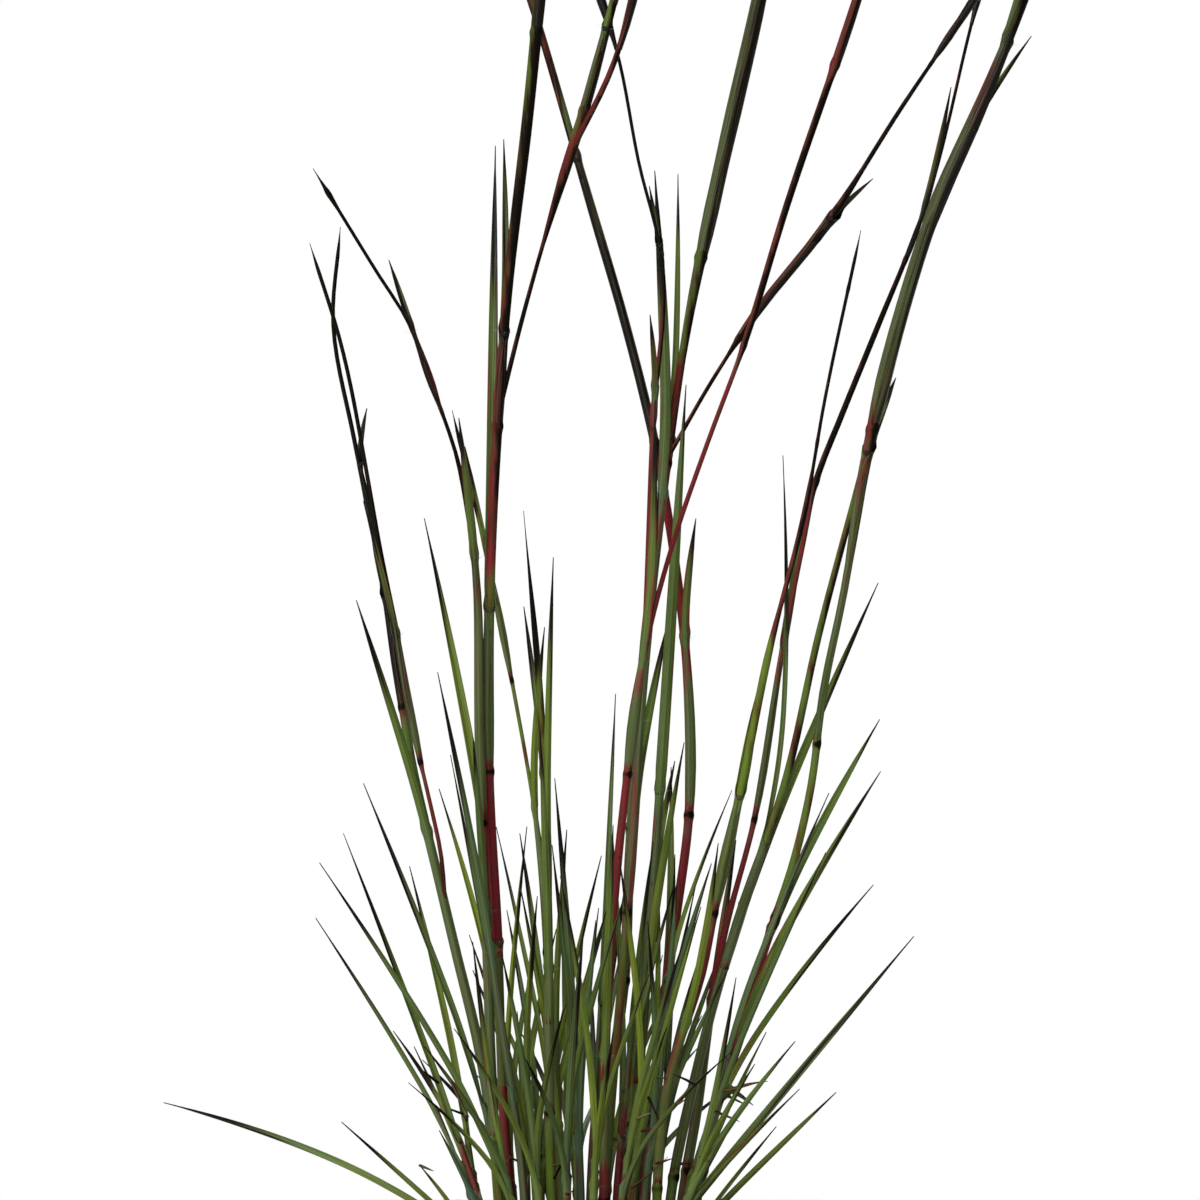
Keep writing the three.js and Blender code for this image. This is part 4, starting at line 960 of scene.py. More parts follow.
KNOT_DUSK_GAIN = 0.25
KNOT_DUSK_RISE = (20.0, 80.0)
WAX_RING = 0.3
WAX_DROP = 5.5
WAX_SPREAD = 3.0
NO_JOINT = 99.0
SHEATH_START = 0.7
FORK_SALT = 0.31


def tip_taper(keys, flowers):
    """How far below its top a culm begins to thin out."""
    if flowers:
        return SPIKE_TIP_TAPER
    return TIP_TAPER if len(keys) > 2 else PLAIN_TIP_TAPER


def add_bare_culm(piece, axis, leaves, radius_at, taper_length, tint):
    """The jointed stalk: thinner inside its sheaths, swollen and dark at its joints, waxy just below them."""
    bottom, top = axis[0, 2], axis[-1, 2]
    knots = np.array([joint for joint, _ in leaves] + [POT_HEIGHT + height for height in tint["knots"]])
    heights = np.concatenate([
        np.arange(bottom, top, CULM_STEP), (knots[:, None] + NODE_ROWS).ravel(), top + CULM_TIP_ROWS])
    heights = np.unique(np.round(heights[heights >= bottom], 1))
    heights = heights[np.append(True, np.diff(heights) > CULM_LEAST_STEP)]
    line, ahead = follow(axis, heights)
    covered = np.zeros(len(heights))
    for joint, collar in leaves:
        inside = past(heights - joint, COVER_FOOT) * past(collar - heights, COVER_HEAD)
        covered = np.maximum(covered, inside)
    knot = np.exp(-((np.abs(heights[:, None] - np.append(knots, 0.0)).min(axis=1) / NODE_WIDTH) ** 2))
    width = radius_at(heights) * (1 - (1 - COVERED_CULM) * covered) * (1 + KNOT_SWELL * knot)
    taper = ease((heights - top + taper_length) / (taper_length + CULM_TIP_LENGTH))
    width = width * (1 - taper) + CULM_TIP_RADIUS * taper

    drop = knots[:, None] - heights
    below = np.where(drop >= 0, drop, NO_JOINT).min(axis=0, initial=NO_JOINT)
    wax = WAX_RING * np.exp(-((below - WAX_DROP) / WAX_SPREAD) ** 2)
    shown = KNOT_DUSK_LOW + KNOT_DUSK_GAIN * past(heights - POT_HEIGHT, KNOT_DUSK_RISE)
    dusk = np.maximum(between(tint["dusk"], heights), shown * knot * knot_strength(heights))
    piece.add(
        tube(line, ahead, width, CULM_SIDES), CULM, tone=tint["tone"], dusk=dusk[:, None],
        blush=between(tint["blush"], heights)[:, None], bloom=wax[:, None])
    piece.lines.append(line)


def add_culm(piece, culm, tints, seed):
    """A culm, its sheaths and blades with their mouths, its flowering top, and then its forks."""
    axis, keys = culm["line"]["points"], culm["spec"]["girth"]
    tint = next(tints)
    top = axis[-1, 2]
    flowers = top - POT_HEIGHT > SPIKE_FROM
    leaves = [(blade["joint"] + POT_HEIGHT, blade["collar"] + POT_HEIGHT) for blade in culm["blades"]]

    def radius_at(heights):
        return between(keys, heights) + CULM_FULLNESS

    add_bare_culm(piece, axis, leaves, radius_at, tip_taper(keys, flowers), tint)
    for (joint, collar), blade in zip(leaves, culm["blades"]):
        mouth = add_leaf(
            piece, axis, sheath_girth(joint, collar, blade["girth"], keys), joint + SHEATH_START,
            collar - BLADE_ROOT_SINK, blade, tint)
        dusk = between(tint["dusk"], mouth["at"][2])
        add_collar(piece, mouth, STEM_HAIRS, draw(blade["count"], 0.9), radius_at, dusk)
    if flowers:
        add_spike(piece, axis, keys, radius_at, tint, seed)
    for index, fork in enumerate(culm["forks"]):
        add_culm(piece, fork, tints, seed + FORK_SALT * (index + 1))


# The flowering tops

BRACT_START = 62.0
BRACT_COLLAR = 16.0
BRACT_RADIUS = 1.7
BRACT_WIDTH = 1.6
BRACT_TIP_RISE = 6.0
BRACT_TIP_ASIDE = (1.5, -1.5, 0.0)
BRACT_DUSK = 0.5
SPIKELETS = 9
SPIKE_DEPTH = 19.5
SPIKELET_STEP = 3.1
SPIKELET_LENGTH = 6.5
SPIKELET_WIDTH = 0.62
SPIKELET_PROFILE = (0.25, 0.8, 1.0, 0.85, 0.5, 0.12)
SPIKELET_SHRINK = 0.25
SPIKELET_LEAN = 0.16
SPIKELET_TURNS = (-0.25, 0.25)
BODY_SIDES = 6
ROOT_CLEARANCE = (0.45, 0.22)
RACHIS_SUNK = 4.0
RACHIS_END = 0.8
RACHIS_WIDTH = 0.26
RACHIS_PROFILE = (1.0, 0.96, 0.9, 0.84, 0.5)
AWN_LENGTH = 8.0
AWN_WIDTH = 0.1
AWN_PROFILE = (1.0, 0.9, 0.6, 0.2)
AWN_LEAN = 0.3
AWN_RISE = 0.08
STALK_SHARE = 0.85
STALK_WIDTH = 0.16
STALK_PROFILE = (1.0, 0.8, 1.1, 1.9, 0.4)
STALK_LEAN = 0.42
STALK_RISE = 0.1
SILKS = 7
SILK_WIDTH = 0.045
SILK_LENGTHS = (2.4, 4.2)
SILK_DROOP = 0.05


def add_spike(piece, axis, keys, radius_at, tint, seed):
    """
    A closed flowering top: a narrow leaf round the stalk, and over it a slender spike of paired spikelets,
    left and right in turn, each with a bristle, a side stalk and silky hairs at its foot.
    """
    top = axis[-1, 2]
    joint, collar = top - BRACT_START, top - BRACT_COLLAR
    tip = follow(axis, np.array([top + BRACT_TIP_RISE]))[0][0] + BRACT_TIP_ASIDE
    bract = {"tip": tip, "width": BRACT_WIDTH, "bow": BLADE_BOW, "count": int(seed * 37) + 5}
    girth_at = sheath_girth(joint, collar, BRACT_RADIUS, keys)
    mouth = add_leaf(piece, axis, girth_at, joint, collar - BLADE_ROOT_SINK, bract, tint)
    add_collar(piece, mouth, STEM_HAIRS, seed, radius_at, BRACT_DUSK)

    order = np.arange(SPIKELETS)
    line, ahead = follow(axis, top - SPIKE_DEPTH + SPIKELET_STEP * order)
    turn = (np.pi * (order % 2) + pick(order, seed, SPIKELET_TURNS))[:, None]
    aside = square_to(np.hstack([np.cos(turn), np.sin(turn), np.zeros((SPIKELETS, 1))]), ahead)
    shrink = 1.0 - SPIKELET_SHRINK * order / SPIKELETS
    roots = line + aside * np.linspace(*ROOT_CLEARANCE, SPIKELETS)[:, None]
    lean = unit(ahead + aside * SPIKELET_LEAN)
    lengths = SPIKELET_LENGTH * shrink
    start = follow(axis, np.array([top - RACHIS_SUNK]))[0]
    rise = line[-1:] - start
    add_needles(
        piece, SPIKE, start, unit(rise), np.linalg.norm(rise, axis=1) + RACHIS_END, RACHIS_WIDTH,
        RACHIS_PROFILE, sides=BODY_SIDES, dusk=0.5)
    add_needles(
        piece, SPIKE, roots, lean, lengths, SPIKELET_WIDTH * shrink, SPIKELET_PROFILE, sides=BODY_SIDES,
        dusk=0.35)
    add_needles(
        piece, SPIKE, roots + lean * lengths[:, None], unit(lean + aside * AWN_LEAN), AWN_LENGTH * shrink,
        AWN_WIDTH, AWN_PROFILE, -AWN_RISE, dusk=0.7)
    add_needles(
        piece, SPIKE, roots, unit(ahead + aside * STALK_LEAN), STALK_SHARE * lengths, STALK_WIDTH,
        STALK_PROFILE, -STALK_RISE, dusk=0.25)

    silk = np.repeat(order, SILKS)
    strand = np.arange(len(silk))
    spin = (2 * np.pi * draw(strand, seed))[:, None]
    spread = aside[silk] * (0.55 + 0.5 * np.cos(spin)) + np.cross(ahead, aside)[silk] * np.sin(spin) * 0.6
    add_needles(
        piece, HAIR, roots[silk], unit(ahead[silk] + spread), pick(strand, seed + 0.3, SILK_LENGTHS),
        SILK_WIDTH, HAIR_PROFILE, SILK_DROOP)


# Leafy shoots

INNER_STEP = 0.18
INNER_OVERLAP = 9.0
SHOOT_SLIMNESS = 0.75
SHOOT_SUNK = 3.0
SHOOT_COLLAR = 0.83
SHOOT_COLLAR_DUSK = 0.1


def add_shoot(piece, axis, neck, fan, tint):
    """A leafy shoot: leaves one inside the other, the outermost lowest, each sheath thinner than the last."""
    low, high = SOIL_TOP - SHOOT_SUNK, POT_HEIGHT + neck[2]
    root = low
    for index, blade in enumerate(fan):
        start = max(low, root - INNER_OVERLAP)
        root = POT_HEIGHT + blade["collar"] - BLADE_ROOT_SINK

        def girth_at(heights, inner=INNER_STEP * index):
            share = np.clip((heights - low) / (high - low), 0.0, 1.0)
            return SHOOT_SLIMNESS * (SHOOT_RADIUS + (NECK_RADIUS - SHOOT_RADIUS) * share) - inner

        mouth = add_leaf(piece, axis, girth_at, start, root, {**blade, "breadth": SHOOT_BREADTH}, tint)
        collar_radius = SHOOT_COLLAR * mouth["girth"]
        add_collar(
            piece, mouth, SHOOT_HAIRS, draw(blade["count"], 0.9),
            lambda heights: np.full(len(heights), collar_radius), SHOOT_COLLAR_DUSK)


# Dry curled remains of old leaves, low among the stems

DRY_ROWS = 12
DRY_SIDES = 6
DRY_THIN = 0.35
DRY_EDGE = 0.06
FRONT_FIRST = 0.03
CURL_FORWARD = 4.0
CURL_BOW = 3.0
CURL_STRAY = 0.12
CURL_HALF = 0.48
CURL_END_HALF = 0.07
CURL_BREADTHS = (0.6, 1.2)
CURL_DUSKS = (0.5, 0.95)
CURL_VEINS = 9.0
STRIPS = 3
STRIP_RISES = (1.0, 11.0)
STRIP_TURNS = (-1.2, 1.2)
STRIP_LENGTHS = (9.0, 25.0)
STRIP_WIDTHS = (0.45, 0.85)
STRIP_LIFTS = (0.4, 1.3)
STRIP_CURLS = (1.2, 3.4)
STRIP_DUSKS = (0.35, 0.85)
STRIP_VEINS = 14.0

# Curled bits seen between the stems: start x and height, end x and height.
SEEN_CURLS = [
    (28, 43, 18, 43.5), (35, 41, 28, 43), (27, 33, 33, 34.5), (17, 28, 22, 30), (18, 24.5, 23, 25),
    (28, 34, 34, 39), (-53, 42, -60, 46), (-51, 39, -41, 28), (-16, 17, -12, 14), (-14, 10, -8, 12.5),
    (-15, 6.5, -8, 9), (-13, 3.5, -7, 17), (23, 13, 29, 14.5), (14, 3.5, 27, 15), (31, 11.5, 35, 13),
    (-10, 2, -5, 3.5), (-20, 23, -17, 21), (-59, 16, -54, 10), (36, 15, 42, 13), (20, 36, 24, 27),
    (-45, 30, -52, 33), (8, 22, 14, 19), (44, 30, 52, 27), (-24, 12, -30, 16), (-36, 39, -31.5, 24),
    (-52, 34, -46, 17), (46, 38, 60.5, 41.5), (46, 36.5, 55, 32.5),
]


def nearest_line(pieces, x, height):
    """The piece whose line passes nearest to a place seen from the front, the front ones first."""
    best = None
    for name, piece in pieces.items():
        line = np.vstack(piece.lines)
        far = np.hypot(line[:, 0] - x, line[:, 2] - POT_HEIGHT - height) + FRONT_FIRST * line[:, 1]
        index = int(far.argmin())
        if best is None or far[index] < best[0]:
            best = (far[index], name, line[index])
    return best[1:]


def add_seen_curls(pieces):
    """Each seen curl leaves the leaf or stem nearest to its start and bows towards the viewer to its end."""
    share = np.linspace(0.0, 1.0, DRY_ROWS)[:, None]
    for index, (x, height, end_x, end_height) in enumerate(SEEN_CURLS):
        name, root = nearest_line(pieces, x, height)
        end = np.array([end_x, root[1] - CURL_FORWARD, POT_HEIGHT + end_height])
        stray = CURL_STRAY * np.linalg.norm(end - root) * (draw(index) - 0.5)
        line = bezier(root, 0.5 * (root + end) + (0.0, -CURL_BOW, stray), end, share)
        radii = CURL_HALF * (1 - share[:, 0] ** 2) * pick(index, 0.0, CURL_BREADTHS) + CURL_END_HALF
        pieces[name].add(
            tube(line, unit(np.gradient(line, axis=0)), radii, DRY_SIDES), LEAF, along=CURL_VEINS * share,
            share=share, seed=draw(index), tone=0.3, blush=0.7, dusk=pick(index, 0.2, CURL_DUSKS))


def dry_strips(roots, outward, lengths, widths, lift, curl):
    """
    Many curled strips at once. Each leaves its root at the angle lift from the level, and the angle falls
    by curl along its length; the points are the running sum of the short steps in those directions.
    """
    share = np.linspace(0.0, 1.0, DRY_ROWS)
    angle = lift[:, None] - curl[:, None] * share
    ahead = outward[:, None] * np.cos(angle)[..., None] + UP * np.sin(angle)[..., None]
    line = roots[:, None] + np.cumsum(ahead * (lengths / DRY_ROWS)[:, None, None], axis=1)
    side = unit(np.cross(ahead, np.cross(outward, UP)[:, None]))
    across = np.cross(ahead, side)
    turn = (2 * np.pi * np.arange(DRY_SIDES) / DRY_SIDES)[:, None]
    half = widths[:, None] * (1 - share ** 3) + DRY_EDGE
    wide = side[:, :, None] * np.cos(turn) * DRY_THIN + across[:, :, None] * np.sin(turn)
    return line[:, :, None] + half[..., None, None] * wide, share[None, :, None]


def add_old_leaves(pieces):
    """Three short dry strips at the foot of each shoot, curling outwards over the soil."""
    for index, (name, shoot) in enumerate(zip(shoot_names, shoots)):
        order = np.arange(STRIPS) + STRIPS * index
        roots = follow(shoot["points"], SOIL_TOP + pick(order, 0.21, STRIP_RISES))[0]
        bearing = math.atan2(roots[0, 1], roots[0, 0]) + pick(order, 0.63, STRIP_TURNS)
        outward = np.stack([np.cos(bearing), np.sin(bearing), np.zeros(STRIPS)], axis=-1)
        strips, share = dry_strips(
            roots, outward, pick(order, 0.37, STRIP_LENGTHS), pick(order, 0.11, STRIP_WIDTHS),
            pick(order, 0.83, STRIP_LIFTS), pick(order, 0.49, STRIP_CURLS))
        pieces[name].add(
            strips, LEAF, along=STRIP_VEINS * share, share=share, seed=draw(order)[:, None, None], tone=0.35,
            blush=0.35, dusk=pick(order, 0.7, STRIP_DUSKS)[:, None, None])


# Soil, its crumbs and the pot

SOIL_SIDES = 168
SOIL_ROWS = 66
SOIL_SIDE_ROWS = 12
SOIL_BOTTOM_RADIUS = 30.0
# Low waves on the soil: turn along x for each millimetre, turn along y, turn at the start, and height.
SOIL_WAVES = np.array([
    [0.061, 0.033, 0.4, 0.45], [-0.047, 0.079, 1.9, 0.4], [0.131, -0.093, 3.1, 0.25],
    [0.083, 0.187, 0.7, 0.225], [-0.251, 0.117, 2.2, 0.175], [0.307, 0.271, 5.2, 0.14],
    [0.173, -0.389, 4.4, 0.125], [0.531, 0.223, 1.1, 0.08], [-0.347, 0.571, 2.9, 0.08],
])
CHIPS = 620
CHIP_LEAST = 1.3
CHIP_RANGE = 3.4
CHIP_POWER = 2.2
CHIP_FLATNESS = 0.34
CHIP_RISE = 0.55
PERLITE_GRAINS = 110
GRAIN_LEAST = 0.9
GRAIN_RANGE = 0.9
GRAIN_FLATNESS = 0.8
GRAIN_RISE = 0.5
CRUMB_REACH = 71.0
CRUMB_STRAYS = (0.97, 1.0)
CRUMB_SIDES = 8
CRUMB_POLAR = np.pi * np.array([0.92, 0.72, 0.5, 0.28, 0.08])[:, None]
CRUMB_PUSH = 0.34
CRUMB_BREADTH_LEAST = 0.45
CRUMB_BREADTH_RANGE = 0.4
CRUMB_TILT = 0.7
STEM_ROOM = 3.2
SOIL, CHIP, GRAIN = range(3)


def pot_radius(height):
    """The pot's outer radius at a height, without its step and its rim."""
    return POT_FOOT_RADIUS + (POT_MOUTH_RADIUS - POT_FOOT_RADIUS) * height / POT_HEIGHT


def soil_height(x, y):
    """The top of the soil: flat in the middle, sinking to the wall, with the sum of a few low waves on it."""
    turn_x, turn_y, start, swell = SOIL_WAVES.T
    waves = (np.sin(x[..., None] * turn_x + y[..., None] * turn_y + start) * swell).sum(-1)
    slope = SOIL_SLOPE * ease((np.hypot(x, y) - SOIL_FLAT_RADIUS) / (CRUMB_REACH - SOIL_FLAT_RADIUS))
    return SOIL_TOP - slope + waves


def turned(radii, heights, sides):
    """Rings of a turned body: for each profile point a circle of its radius at its height."""
    turn = 2 * np.pi * np.arange(sides) / sides
    levels = np.broadcast_to(heights[:, None], (len(radii), sides))
    return np.stack([radii[:, None] * np.cos(turn), radii[:, None] * np.sin(turn), levels], axis=-1)


def make_soil():
    """The potting mix as one closed body: level bottom, plain side, and a crumbly top from wall to middle."""
    bottom = POT_FLOOR + SEAT_GAP
    edge = SOIL_TOP - SOIL_SLOPE
    wall = POT_WALL + SIDE_GAP
    side_heights = np.linspace(bottom, edge, SOIL_SIDE_ROWS)
    top_radii = np.linspace(pot_radius(edge) - wall, 1.0, SOIL_ROWS)[1:]
    radii = np.concatenate([[1.0, SOIL_BOTTOM_RADIUS], pot_radius(side_heights) - wall, top_radii])
    heights = np.concatenate([[bottom, bottom], side_heights, np.full(SOIL_ROWS - 1, edge)])
    rings = turned(radii, heights, SOIL_SIDES)
    top = rings[1 - SOIL_ROWS:]
    top[..., 2] = soil_height(top[..., 0], top[..., 1])
    return rings


def scatter(count, salt):
    """Places on the soil, by the golden angle outwards, without those at the feet of the stems."""
    order = np.arange(count)
    radius = CRUMB_REACH * np.sqrt((order + 0.5) / count) * pick(order, salt, CRUMB_STRAYS)
    bearing = 2 * np.pi * (order * GOLDEN_SHARE + salt) + 0.5 * np.sin(order * 1.7)
    x, y = radius * np.cos(bearing), radius * np.sin(bearing)
    feet = np.array([spec["foot"] for spec in TALL_STEMS] + [foot for foot, _, _ in LEAFY_SHOOTS])
    clear = np.hypot(x[:, None] - feet[:, 0], y[:, None] - feet[:, 1]).min(axis=1) > STEM_ROOM
    return x[clear], y[clear]


def crumbs(x, y, sizes, flatness, rise, rng):
    """
    Small lumps on the soil. Each is a ball of a few rings whose radius is pushed in and out at random,
    stretched to its three sizes, then turned and tilted.
    """
    count = len(x)
    turn = 2 * np.pi * np.arange(CRUMB_SIDES) / CRUMB_SIDES
    push = 1.0 + CRUMB_PUSH * (rng.random((count, len(CRUMB_POLAR), CRUMB_SIDES)) - 0.5)
    ball = np.stack([
        push * np.sin(CRUMB_POLAR) * np.cos(turn), push * np.sin(CRUMB_POLAR) * np.sin(turn),
        push * np.cos(CRUMB_POLAR)], axis=-1)
    breadths = sizes * (CRUMB_BREADTH_LEAST + CRUMB_BREADTH_RANGE * rng.random(count))
    ball = ball * np.stack([sizes, breadths, sizes * flatness], axis=-1)[:, None, None]
    yaw, tilt = 2 * np.pi * rng.random(count), CRUMB_TILT * (rng.random(count) - 0.5)
    along = np.stack([np.cos(yaw) * np.cos(tilt), np.sin(yaw) * np.cos(tilt), np.sin(tilt)], axis=-1)
    aside = np.stack([-np.sin(yaw), np.cos(yaw), np.zeros(count)], axis=-1)
    ball = np.einsum("nrsk,nkj->nrsj", ball, np.stack([along, aside, np.cross(along, aside)], axis=1))
    place = np.stack([x, y, soil_height(x, y) + rise * sizes * flatness], axis=-1)
    return ball + place[:, None, None]


POT_SIDES = 144
HOLE_CELLS = 8
HOLE_LOW = 3.6
HOLE_HIGH = 17.2
FOOT_RECESS = 0.8
FOOT_INNER = 52.0
FOOT_OUTER = 56.0
MIDDLE_RADIUS = 2.0
FLOOR_MID_RADIUS = 30.0
OUTER_ROWS = 14
INNER_ROWS = 10
BAND_RIBS = 3
RIB_LOWEST = 6.0
RIB_HIGHEST = 18.0
RIB_SPREAD = 0.9
RIB_DEPTH = 0.4
FOOT_ROUNDING = 1.2
WALL_ROUNDING = 0.8
CORNER_SHARE = 0.45
CORNER_POINTS = 4


def on_wall(height, outwards=0.0):
    """A profile point of the wall at a height, moved outwards."""
    return [pot_radius(height) + outwards, height]


def rounded(profile, step):
    """A profile with each inner corner cut to a small curve: a quadratic Bezier over step either side."""
    points = [profile[:1]]
    share = np.linspace(0.0, 1.0, CORNER_POINTS)[:, None]
    for before, corner, after in zip(profile[:-2], profile[1:-1], profile[2:]):
        shorter = min(np.linalg.norm(corner - before), np.linalg.norm(after - corner))
        reach = min(step, CORNER_SHARE * shorter)
        start = corner + unit(before - corner) * reach
        points.append(bezier(start, corner, corner + unit(after - corner) * reach, share))
    points.append(profile[-1:])
    return np.vstack(points)


def pot_profile():
    """
    The profile in five runs: the underside and foot; the outer wall beside the drain holes; the wall above
    them with its step, ribs and rolled rim, and down again inside; the inner wall beside them; the floor.
    """
    step_top = POT_HEIGHT - STEP_DROP
    rim_low = POT_HEIGHT - RIM_BAND
    lip = pot_radius(POT_HEIGHT) + RIM_OVERHANG
    foot = [
        [MIDDLE_RADIUS, FOOT_RECESS], [FOOT_INNER, FOOT_RECESS], [FOOT_OUTER, 0.0],
        [pot_radius(0.0) - EDGE_EASE, 0.0], on_wall(EDGE_EASE), on_wall(HOLE_LOW - 0.3)]
    upper = [on_wall(height) for height in np.linspace(HOLE_HIGH, step_top, OUTER_ROWS)[1:]]
    upper.append([pot_radius(step_top) + STEP_DEPTH, step_top + STEP_DEPTH])
    for rib in np.linspace(step_top + RIB_LOWEST, step_top + RIB_HIGHEST, BAND_RIBS):
        wall = pot_radius(rib) + STEP_DEPTH
        upper += [[wall, rib - RIB_SPREAD], [wall + RIB_DEPTH, rib], [wall, rib + RIB_SPREAD]]
    upper += [
        [pot_radius(rim_low) + STEP_DEPTH, rim_low - 0.5], [lip - 1.2, rim_low + 0.3], [lip, rim_low + 1.8],
        [lip, POT_HEIGHT - EDGE_EASE], [lip - EDGE_EASE, POT_HEIGHT],
        on_wall(POT_HEIGHT, EDGE_EASE - POT_WALL), on_wall(POT_HEIGHT - EDGE_EASE, -POT_WALL)]
    upper += [on_wall(height, -POT_WALL) for height in np.linspace(step_top, HOLE_HIGH + 3.0, INNER_ROWS)]
    floor_edge = pot_radius(POT_FLOOR) - POT_WALL
    bottom = [
        [floor_edge, POT_FLOOR + 0.5], [floor_edge - 0.8, POT_FLOOR], [FLOOR_MID_RADIUS, POT_FLOOR],
        [MIDDLE_RADIUS, POT_FLOOR]]
    rows = np.linspace(HOLE_LOW, HOLE_HIGH, HOLE_CELLS + 1)
    return [
        rounded(np.array(foot), FOOT_ROUNDING), np.array([on_wall(height) for height in rows]),
        rounded(np.array(upper), WALL_ROUNDING),
        np.array([on_wall(height, -POT_WALL) for height in rows[::-1]]), np.array(bottom)]


def hole_circle(bearing, spin, inset):
    """The edge of a drain hole on the outer wall, or on the inner one by its inset."""
    height = DRAIN_RADIUS + POT_FLOOR + DRAIN_RISE + DRAIN_RADIUS * np.sin(spin)
    aside = DRAIN_RADIUS * np.cos(spin)
    depth = np.sqrt((pot_radius(height) - inset) ** 2 - aside ** 2)
    return np.column_stack([
        depth * math.cos(bearing) - aside * math.sin(bearing),
        depth * math.sin(bearing) + aside * math.cos(bearing), height])


def strip_faces(first, second):
    """Faces from one closed row of points to another."""
    return np.column_stack([first, np.roll(first, -1), np.roll(second, -1), second])


def make_pot():
    """
    The pot as one closed skin turned from its profile. Round each drain hole a square patch of both walls
    gives way to faces that run from the square to the hole's circle, and a short bore joins the circles.
    """
    runs = pot_profile()
    profile = np.vstack(runs)
    points = turned(profile[:, 0], profile[:, 1], POT_SIDES).reshape(-1, 3)
    faces = ring_faces(len(profile), POT_SIDES)
    outer_start = len(runs[0])
    inner_start = sum(len(run) for run in runs[:3])
    row, column = faces[:, 0] // POT_SIDES, faces[:, 0] % POT_SIDES
    pitch = POT_SIDES // DRAIN_HOLES
    first = pitch // 2 - HOLE_CELLS // 2
    in_patch = (column % pitch >= first) & (column % pitch < first + HOLE_CELLS)
    in_outer = (row >= outer_start) & (row < outer_start + HOLE_CELLS)
    in_inner = (row >= inner_start) & (row < inner_start + HOLE_CELLS)
    walls = np.arange(len(faces)) < (len(profile) - 1) * POT_SIDES
    faces = faces[~(walls & in_patch & (in_outer | in_inner))]

    edge, whole = np.arange(HOLE_CELLS), np.full(HOLE_CELLS, HOLE_CELLS)
    square_column = np.concatenate([edge, whole, HOLE_CELLS - edge, edge * 0])
    square_row = np.concatenate([edge * 0, edge, whole, HOLE_CELLS - edge])
    spin = np.arctan2(square_row - HOLE_CELLS / 2, square_column - HOLE_CELLS / 2)
    for hole in range(DRAIN_HOLES):
        bearing = 2 * np.pi * (hole + 0.5) / DRAIN_HOLES
        outer_circle = len(points) + np.arange(len(spin))
        inner_circle = outer_circle + len(spin)
        points = np.vstack([points, hole_circle(bearing, spin, 0.0), hole_circle(bearing, spin, POT_WALL)])
        around = hole * pitch + first + square_column
        outer_square = (outer_start + square_row) * POT_SIDES + around
        inner_square = (inner_start + HOLE_CELLS - square_row) * POT_SIDES + around
        faces = np.vstack([
            faces, strip_faces(outer_square, outer_circle), strip_faces(inner_circle, inner_square),
            strip_faces(outer_circle, inner_circle)])
    used, faces = np.unique(faces, return_inverse=True)
    return points[used], faces.reshape(-1, 4)


# Colours of the stems. For each flowering stem: its tone from blue-green 0 to yellow-green 1, and the
# heights of joints without a blade of their own. Then, for its culm and each of its forks, the darkness and
# the share of crimson, both as (height above the rim, value).

